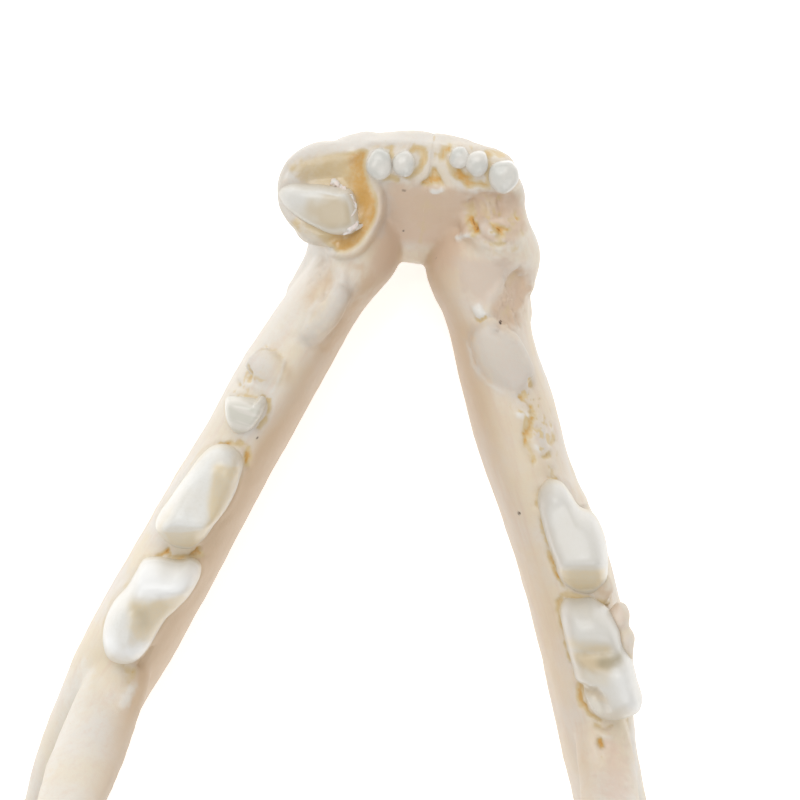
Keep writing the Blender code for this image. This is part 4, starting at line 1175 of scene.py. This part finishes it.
class Finish:
    """A material, built node by node."""

    def __init__(self, name):
        self.material = bpy.data.materials.new(name)
        self.material.use_nodes = True
        self.tree = self.material.node_tree
        self.shader = self.tree.nodes["Principled BSDF"]

    def node(self, kind, settings, values, output=0):
        """New node: its settings first, then the values or links of its sockets. Returns one output."""
        node = self.tree.nodes.new(kind)
        for name, value in settings.items():
            setattr(node, name, value)
        for key, value in values.items():
            self.set(node.inputs[key], value)
        return Value(self, node.outputs[output])

    def set(self, socket, value):
        """Link a value to a socket, or write a plain number or colour on it."""
        if isinstance(value, Value):
            self.tree.links.new(value.socket, socket)
        elif socket.type == "RGBA":
            socket.default_value = (*value, 1.0)
        else:
            socket.default_value = value

    def shade(self, **values):
        """Set sockets of the main shader, whose names are written with underscores."""
        for name, value in values.items():
            self.set(self.shader.inputs[name.replace("_", " ").title()], value)

    def place(self, scale=(1.0, 1.0, 1.0), turn=0.0):
        """Object coordinates in millimetres, turned about the upright axis and then scaled."""
        here = self.node("ShaderNodeTexCoord", {}, {}, "Object")
        turned = self.node("ShaderNodeMapping", {}, {"Vector": here, "Rotation": (0.0, 0.0, turn)})
        per_metre = tuple(part / MM for part in scale)
        return self.node("ShaderNodeVectorMath", {"operation": "MULTIPLY"}, {0: turned, 1: per_metre})

    def noise(self, place, scale, detail=2.0, roughness=0.5):
        """Noise from 0 to 1 at a place."""
        values = {"Vector": place, "Scale": scale, "Detail": detail, "Roughness": roughness}
        return self.node("ShaderNodeTexNoise", {}, values)

    def mask(self, name):
        """A tint's value at the vertices."""
        return self.node("ShaderNodeAttribute", {"attribute_name": name}, {}, "Fac")

    def mix(self, share, first, second):
        """Blend of two colours."""
        return self.node("ShaderNodeMix", {"data_type": "RGBA"}, {0: share, 6: first, 7: second}, 2)

    def layered(self, base, *layers):
        """Colour with others laid over it in turn, each a share and a colour."""
        for share, tone in layers:
            base = self.mix(share, base, tone)
        return base

    def bump(self, height, distance, strength=1.0):
        """Normal from a height of 0 to 1, over a distance in millimetres."""
        return self.node(
            "ShaderNodeBump", {}, {"Height": height, "Distance": distance * MM, "Strength": strength})


def bone_finish(side):
    """Dry ivory bone: mottled, faintly streaked along the jaw, pored, tan in its pits and sockets,
    pinkish in its hollows, and glossier where it is stained. The tan and pinkish tints are partly the
    bone's own tone and partly painted shade in hollows and on sides turned from the light, the paler tint
    is partly painted light on the front of the chin and on the ramus, and the fine openings are painted
    deep brown as the shade inside them."""
    colours = bpy.context.scene.jaw_colours
    finish = Finish("bone_" + side)
    here = finish.place()
    streaks = finish.noise(finish.place((2.6, 0.22, 1.6), SIDES[side] * math.radians(24)), 1.0, 3.0)
    cloud = finish.noise(here, 0.32, 3.0)
    grain = finish.noise(here, 3.2, 3.0, 0.6)
    speck = finish.noise(here, 9.0, 1.0)
    mottle = finish.noise(here, 4.5, 4.0, 0.7)
    patchy = finish.mask("stain") * (0.7 + 0.6 * grain)
    tan = finish.layered(
        colours.stain_light,
        (patchy.step(0.5, 1.0), colours.stain_amber),
        (patchy.step(1.0, 1.3), colours.stain_dark),
    )
    cells = {"Vector": here, "Scale": 1.3, "Randomness": 1.0}
    pores = finish.node("ShaderNodeTexVoronoi", {}, cells, "Distance")
    pits = (1.0 - pores.step(0.03, 0.1)) * speck.step(0.5, 0.6)
    base = finish.layered(
        colours.bone,
        (cloud.step(0.3, 0.7), colours.bone_cream),
        (streaks.step(0.45, 0.75) * 0.35, colours.bone_rosy_and_shade),
        # Tan: partly the inner side's own tone, partly painted shade
        (finish.mask("tan_and_shade") * (0.55 + 0.5 * cloud), colours.bone_tan_and_shade),
        # Pinkish: partly its own tone, partly painted shade in hollows
        (finish.mask("rosy_and_shade") * 0.8, colours.bone_rosy_and_shade),
        (finish.mask("cream") * 0.8, colours.bone_cream),
        (finish.mask("grey") * 0.85, colours.bone_grey),
        # Paler: partly its own tone, partly painted light
        (finish.mask("pale").step(0.0, 1.0), colours.bone_pale_and_light),
        (mottle.step(0.42, 0.7) * 0.2, colours.bone_rosy_and_shade),
        ((1.0 - mottle).step(0.45, 0.7) * 0.12, colours.bone_grey),
        (patchy.step(0.12, 0.55), tan),
        (pits * 0.4, colours.stain_light),
        # Painted shade inside the fine openings
        (finish.mask("hole_shade").step(0.15, 0.7), colours.pinhole_shade),
    )
    finish.shade(
        base_color=base,
        roughness=0.5 - 0.2 * finish.mask("gloss") + 0.12 * (grain - 0.5),
        coat_weight=0.12 + 0.6 * finish.mask("gloss"),
        coat_roughness=0.2,
        normal=finish.bump(0.45 * grain + 0.25 * streaks + 0.15 * speck - 0.4 * pits, 0.06, 0.6),
    )
    return finish.material


def enamel_finish(name, shade_share, grey=0.0):
    """Cream enamel: milky, with faint growth lines and a wet gloss, darker and beige towards the neck.
    The beige also lies as painted shade on slopes turned back or inward, the whitest tint is painted
    light on faces that catch it, and a grey share given for a side makes a duller copy that is painted
    shade.
    """
    colours = bpy.context.scene.jaw_colours
    finish = Finish(name)
    here = finish.place()
    cloud = finish.noise(here, 0.5, 3.0)
    fine = finish.noise(here, 5.0, 2.0)
    lines = finish.noise(finish.place((0.7, 0.7, 6.0)), 1.0, 2.0)
    base = finish.layered(
        colours.enamel,
        (cloud.step(0.35, 0.65) * 0.6, colours.enamel_cream),
        # A grey share given for a side makes a duller copy: painted shade
        (grey + (1.0 - grey) * finish.mask("grey"), colours.enamel_grey),
        # Beige: the neck's own tone, and painted shade on slopes turned from the light
        (finish.mask("neck") * (shade_share - 0.3 + 0.6 * cloud), colours.enamel_neck_and_shade),
        (fine.step(0.4, 0.75) * 0.25, colours.enamel_glassy),
        (finish.mask("stain"), colours.dentine),
        (finish.mask("shade"), colours.enamel_shade),
        # Whitest tint: painted light
        (finish.mask("white"), colours.enamel_white_and_light),
    )
    finish.shade(
        base_color=base,
        roughness=0.3 + 0.15 * fine,
        coat_weight=0.25,
        coat_roughness=0.14,
        normal=finish.bump(0.5 * fine + 0.7 * lines, 0.014, 0.6),
    )
    return finish.material


def glassy_finish():
    """Broken, cloudy enamel of the small premolar: greyish, with pale bands across it."""
    colours = bpy.context.scene.jaw_colours
    finish = Finish("broken_enamel")
    bands = finish.noise(finish.place((0.3, 2.4, 0.6), math.radians(10)), 1.0, 3.0)
    fine = finish.noise(finish.place(), 4.0, 2.0)
    finish.shade(
        base_color=finish.layered(
            colours.enamel_glassy,
            (bands.step(0.4, 0.6), colours.enamel_cream),
            (finish.mask("stain"), colours.dentine),
        ),
        roughness=0.25 + 0.1 * fine,
        coat_weight=0.35,
        coat_roughness=0.14,
        normal=finish.bump(0.7 * bands + 0.3 * fine, 0.03, 0.6),
    )
    return finish.material


def chip_finish():
    """Pinkish white of the chips of enamel."""
    colours = bpy.context.scene.jaw_colours
    finish = Finish("chipped_enamel")
    fine = finish.noise(finish.place(), 4.0, 2.0)
    finish.shade(
        base_color=finish.mix(fine.step(0.35, 0.65), colours.enamel_chip, colours.enamel),
        roughness=0.35 + 0.15 * fine,
        normal=finish.bump(fine, 0.03, 0.8),
    )
    return finish.material


def incisor_finish():
    """Worn milky enamel of the incisors, with a faint glow of its own: painted light that brightens their
    shaded sides.
    """
    colours = bpy.context.scene.jaw_colours
    finish = Finish("incisor_enamel_glowing")
    here = finish.place()
    cloud = finish.noise(here, 0.9, 3.0)
    fine = finish.noise(here, 6.0, 2.0)
    finish.shade(
        base_color=finish.mix(cloud.step(0.35, 0.65), colours.pearl, colours.enamel_grey),
        roughness=0.25 + 0.08 * fine,
        coat_weight=0.45,
        coat_roughness=0.1,
        normal=finish.bump(fine, 0.02, 0.5),
        # A faint glow of their own: painted light that brightens the shaded sides
        emission_color=(1.0, 0.98, 0.93),
        emission_strength=0.08,
    )
    return finish.material


def length_property(name, description, value, precision=5):
    """A length in metres, for the group of sizes."""
    return FloatProperty(
        name=name, description=description, default=value, unit="LENGTH", precision=precision)


class JAW_PG_sizes(bpy.types.PropertyGroup):
    """Sizes of the jaw."""

    body_depth: length_property("Body depth", "From the rims of the sockets down to the table", 0.0103)
    jaw_middle: length_property(
        "Jaw middle", "From the front of the jaw back to the middle of its box", 0.0284)
    ramus_thickness: length_property(
        "Ramus thickness", "Thickness of the lower part of the ramus", 0.0022)
    coronoid_thickness: length_property(
        "Coronoid thickness", "Thickness of the coronoid process", 0.0017)
    condyle_radius: length_property("Condyle radius", "Radius of the jaw joint's barrel", 0.00175)
    chin_gap: length_property("Chin gap", "Gap between the two halves at the chin", 0.0000004, 7)
    socket_collar: length_property(
        "Socket collar", "Height to which the bone rises round each tooth", 0.00012, 6)
    canine_socket_depth: length_property(
        "Canine socket depth", "Depth of the wide socket round the left canine", 0.0011)
    bone_voxel: length_property(
        "Bone voxel", "Grid on which the forms of the bone are joined", 0.00017, 6)
    crown_columns: IntProperty(
        name="Crown columns", description="Points round the outline of each crown", default=200, min=24)


def colour_property(name, description, value):
    """A linear colour, for the group of colours."""
    return FloatVectorProperty(
        name=name, description=description, default=value, subtype="COLOR", min=0.0, max=1.0)


class JAW_PG_colours(bpy.types.PropertyGroup):
    """Colours of the jaw."""

    bone: colour_property("Bone", "Dry ivory bone", colour(225, 219, 210))
    bone_cream: colour_property("Cream bone", "Yellower patches of the bone", colour(228, 215, 190))
    # Tan: partly the bone's own tone, partly painted shade
    bone_tan_and_shade: colour_property("Warm bone", "Tan bone of the inner side", colour(213, 188, 158))
    # Pinkish: partly the bone's own tone, partly painted shade
    bone_rosy_and_shade: colour_property("Rosy bone", "Pinkish bone of hollows and streaks", colour(218, 193, 175))
    bone_grey: colour_property("Grey bone", "Dense greyish bone of the domes", colour(209, 202, 193))
    # Paler: partly the bone's own tone, partly painted light
    bone_pale_and_light: colour_property("Pale bone", "Whiter bone of ridges and lumps", colour(232, 229, 222))
    stain_light: colour_property("Light stain", "Thin tan stain", colour(214, 193, 152))
    stain_amber: colour_property("Amber stain", "Deep stain of the sockets", colour(210, 164, 90))
    stain_dark: colour_property("Dark stain", "Bottoms of the pits", colour(160, 108, 48))
    # Painted shade of the fine openings
    pinhole_shade: colour_property("Pinhole", "Fine openings of vessels", colour(70, 52, 38))
    enamel: colour_property("Enamel", "Cream enamel", colour(228, 227, 222))
    enamel_cream: colour_property("Cream enamel", "Yellower patches of the enamel", colour(224, 219, 209))
    # Painted light on faces that catch it
    enamel_white_and_light: colour_property("White enamel", "Whitest parts of the crowns", colour(240, 240, 238))
    enamel_chip: colour_property("Chipped enamel", "Pinkish white of the chips", colour(240, 226, 219))
    # Beige of the neck, also used as painted shade
    enamel_neck_and_shade: colour_property("Neck of the teeth", "Enamel towards the gum", colour(223, 205, 169))
    enamel_grey: colour_property("Grey enamel", "Duller enamel", colour(211, 207, 199))
    enamel_shade: colour_property("Shaded enamel", "Deep creases of the crowns", colour(168, 156, 128))
    enamel_glassy: colour_property("Cloudy enamel", "Greyish broken enamel", colour(214, 211, 199))
    dentine: colour_property("Dentine", "Where the enamel is lost", colour(202, 183, 149))
    pearl: colour_property("Worn incisors", "Milky white of the incisors", colour(196, 195, 188))
    floor: colour_property("Floor", "Pale table", colour(250, 250, 250))


class JAW_OT_bone(bpy.types.Operator):
    """Make the bone of both halves"""

    bl_idname = "jaw.bone"
    bl_label = "Bone"

    def execute(self, context):
        for side in SIDES:
            mesh = bone_half(side, context.scene.jaw_sizes)
            thing = add_piece("bone_" + side, mesh, bone_finish(side), ("mandible_" + side,))
            shade_cuts_flat(thing.data)
        return {"FINISHED"}


def canine_facet(points, normals):
    """Share of bare dentine on the worn face of the canine: a smooth step across an ellipse."""
    pixel, level, half_length, half_width = CANINE_FACET
    run = points[:, :2] - on_jaw(pixel, level)
    away = np.hypot(run[:, 0] / half_length, run[:, 1] / half_width) + 0.15 * noise(points, 0.5, 43)
    return 0.8 * step(1.2, 0.4, away) * step(0.5, 0.85, normals[:, 2])


def add_crown(name, material):
    """Make a crown, with the beige of its neck kept low on it and as painted shade on faces turned back
    or inward, its tints and its lost enamel kept as masks.
    """
    tooth = TEETH[name]
    mesh = new_mesh(name, crown_surface(tooth, bpy.context.scene.jaw_sizes.crown_columns))
    points = read_points(mesh)
    normals = read_normals(mesh)
    masks = {mask: np.zeros(len(points)) for mask in CROWN_MASKS}
    # Painted shade: faces turned back, and on the left teeth faces turned inward, take the beige of the
    # neck. Low on the crown the beige is the neck's own.
    tint(masks, "neck", 0.35 * step(0.3, 0.75, normals[:, 1]))
    if tooth.side == "left":
        tint(masks, "neck", 0.5 * step(0.3, 0.75, -normals[:, 0]))
    tint(masks, "neck", 0.6 * step(1.2, 0.1, points[:, 2]))
    for lost in tooth.chipped:
        tint(masks, "stain", 0.15 * step(0.05, -0.1, lost_distance(points, lost)))
    if name == "canine_left":
        tint(masks, "stain", canine_facet(points, normals))
    facing = step(0.0, 0.3, normals[:, 2])
    rise = sculpt_marks(CROWN_MARKS.get(name, ()), points, masks, facing, 0.3)
    write_points(mesh, points + normals * rise[:, None])
    for mask, values in masks.items():
        write_mask(mesh, mask, values)
    return add_piece(name, mesh, material)


class JAW_OT_cheek_teeth(bpy.types.Operator):
    """Make the large premolars and the carnassials"""

    bl_idname = "jaw.cheek_teeth"
    bl_label = "Cheek teeth"

    def execute(self, context):
        enamels = {
            # The right teeth get a duller, greyer copy of the enamel: painted shade
            "left": enamel_finish("enamel_left", 0.75), "right": enamel_finish("enamel_right_shaded", 0.75, 0.6)}
        for name in ("premolar_left", "premolar_right", "molar_left", "molar_right"):
            add_crown(name, enamels[TEETH[name].side])
        return {"FINISHED"}


class JAW_OT_small_premolar(bpy.types.Operator):
    """Make the broken small premolar of the left half"""

    bl_idname = "jaw.small_premolar"
    bl_label = "Small premolar"

    def execute(self, context):
        add_crown("small_premolar_left", glassy_finish())
        return {"FINISHED"}


class JAW_OT_canine(bpy.types.Operator):
    """Make the broken canine of the left half and the chips of enamel at its edge"""

    bl_idname = "jaw.canine"
    bl_label = "Canine"

    def execute(self, context):
        add_crown("canine_left", enamel_finish("canine_enamel", 0.4))
        chips = []
        for seed, (start, end, width, levels) in enumerate(CHIPS):
            ends = [np.append(on_jaw(pixel, level), level) for pixel, level in zip((start, end), levels)]
            chips.append(chip_surface(*ends, width, 60 + seed))
        mesh = new_mesh("canine_chips_left", joined(chips))
        add_piece("canine_chips_left", mesh, chip_finish())
        return {"FINISHED"}


class JAW_OT_incisors(bpy.types.Operator):
    """Make the worn incisors of both halves"""

    bl_idname = "jaw.incisors"
    bl_label = "Incisors"

    def execute(self, context):
        material = incisor_finish()
        for side in SIDES:
            name = "incisors_" + side
            pearls = [
                pearl_surface(on_jaw(pixel, height - INCISOR_READ)[0], width, length, height, 50 + index)
                for index, (half, pixel, width, length, height) in enumerate(INCISORS) if half == side
            ]
            add_piece(name, new_mesh(name, joined(pearls)), material)
        return {"FINISHED"}


class JAW_OT_stage(bpy.types.Operator):
    """Make the floor, the lights and the camera at the photo's angle"""

    bl_idname = "jaw.stage"
    bl_label = "Stage"

    def execute(self, context):
        scene = context.scene
        sizes = scene.jaw_sizes
        reach = FLOOR_REACH
        mesh = bpy.data.meshes.new("floor")
        corners = [(-reach, -reach, 0.0), (reach, -reach, 0.0), (reach, reach, 0.0), (-reach, reach, 0.0)]
        mesh.from_pydata(corners, [], [(0, 1, 2, 3)])
        finish = Finish("floor")
        finish.shade(
            base_color=scene.jaw_colours.floor, roughness=0.9,
            emission_color=(1.0, 1.0, 1.0), emission_strength=FLOOR_GLOW)
        mesh.materials.append(finish.material)
        floor = new_object("floor", mesh)

        world = bpy.data.worlds.new("studio")
        world.use_nodes = True
        world.node_tree.nodes["Background"].inputs["Color"].default_value = (1.0, 1.0, 1.0, 1.0)
        world.node_tree.nodes["Background"].inputs["Strength"].default_value = WORLD_STRENGTH
        scene.world = world
        for name, place, size, watts in LIGHTS:
            light = bpy.data.lights.new(name, "AREA")
            light.size = size
            light.energy = watts
            back = np.array(place) / np.linalg.norm(place)
            side = np.cross((0.0, 0.0, 1.0), back)
            side /= np.linalg.norm(side)
            place_object(new_object(name, light), place, (side, np.cross(back, side), back))

        data = bpy.data.cameras.new("camera")
        data.sensor_width = SENSOR_MM
        data.lens = SENSOR_MM * FOCAL_PIXELS / PHOTO_PIXELS
        data.clip_start = 0.01
        data.clip_end = 10.0
        axes = camera_axes()
        eye = np.array(CAMERA_AIM) + CAMERA_DISTANCE * axes[2]
        eye = eye * MM + (0.0, -sizes.jaw_middle, sizes.body_depth)
        scene.camera = new_object("camera", data)
        place_object(scene.camera, eye.tolist(), axes)
        scene.view_settings.view_transform = "Standard"
        return {"FINISHED"}


OPERATORS = (
    JAW_OT_bone, JAW_OT_cheek_teeth, JAW_OT_small_premolar, JAW_OT_canine, JAW_OT_incisors, JAW_OT_stage,
)


class JAW_PT_panel(bpy.types.Panel):
    """Sizes, colours and pieces of the jaw"""

    bl_idname = "JAW_PT_panel"
    bl_label = "Cat lower jaw"
    bl_space_type = "VIEW_3D"
    bl_region_type = "UI"
    bl_category = "Jaw"

    def draw(self, context):
        for group in (context.scene.jaw_sizes, context.scene.jaw_colours):
            column = self.layout.column(align=True)
            for name in group.__annotations__:
                column.prop(group, name)
        for operator in OPERATORS:
            self.layout.operator(operator.bl_idname)


CLASSES = (JAW_PG_sizes, JAW_PG_colours, *OPERATORS, JAW_PT_panel)


def register():
    for item in CLASSES:
        bpy.utils.register_class(item)
    bpy.types.Scene.jaw_sizes = PointerProperty(type=JAW_PG_sizes)
    bpy.types.Scene.jaw_colours = PointerProperty(type=JAW_PG_colours)


def unregister():
    del bpy.types.Scene.jaw_colours
    del bpy.types.Scene.jaw_sizes
    for item in reversed(CLASSES):
        bpy.utils.unregister_class(item)


def main():
    register()
    bpy.ops.jaw.bone()
    bpy.ops.jaw.cheek_teeth()
    bpy.ops.jaw.small_premolar()
    bpy.ops.jaw.canine()
    bpy.ops.jaw.incisors()
    bpy.ops.jaw.stage()


if __name__ == "__main__":
    main()
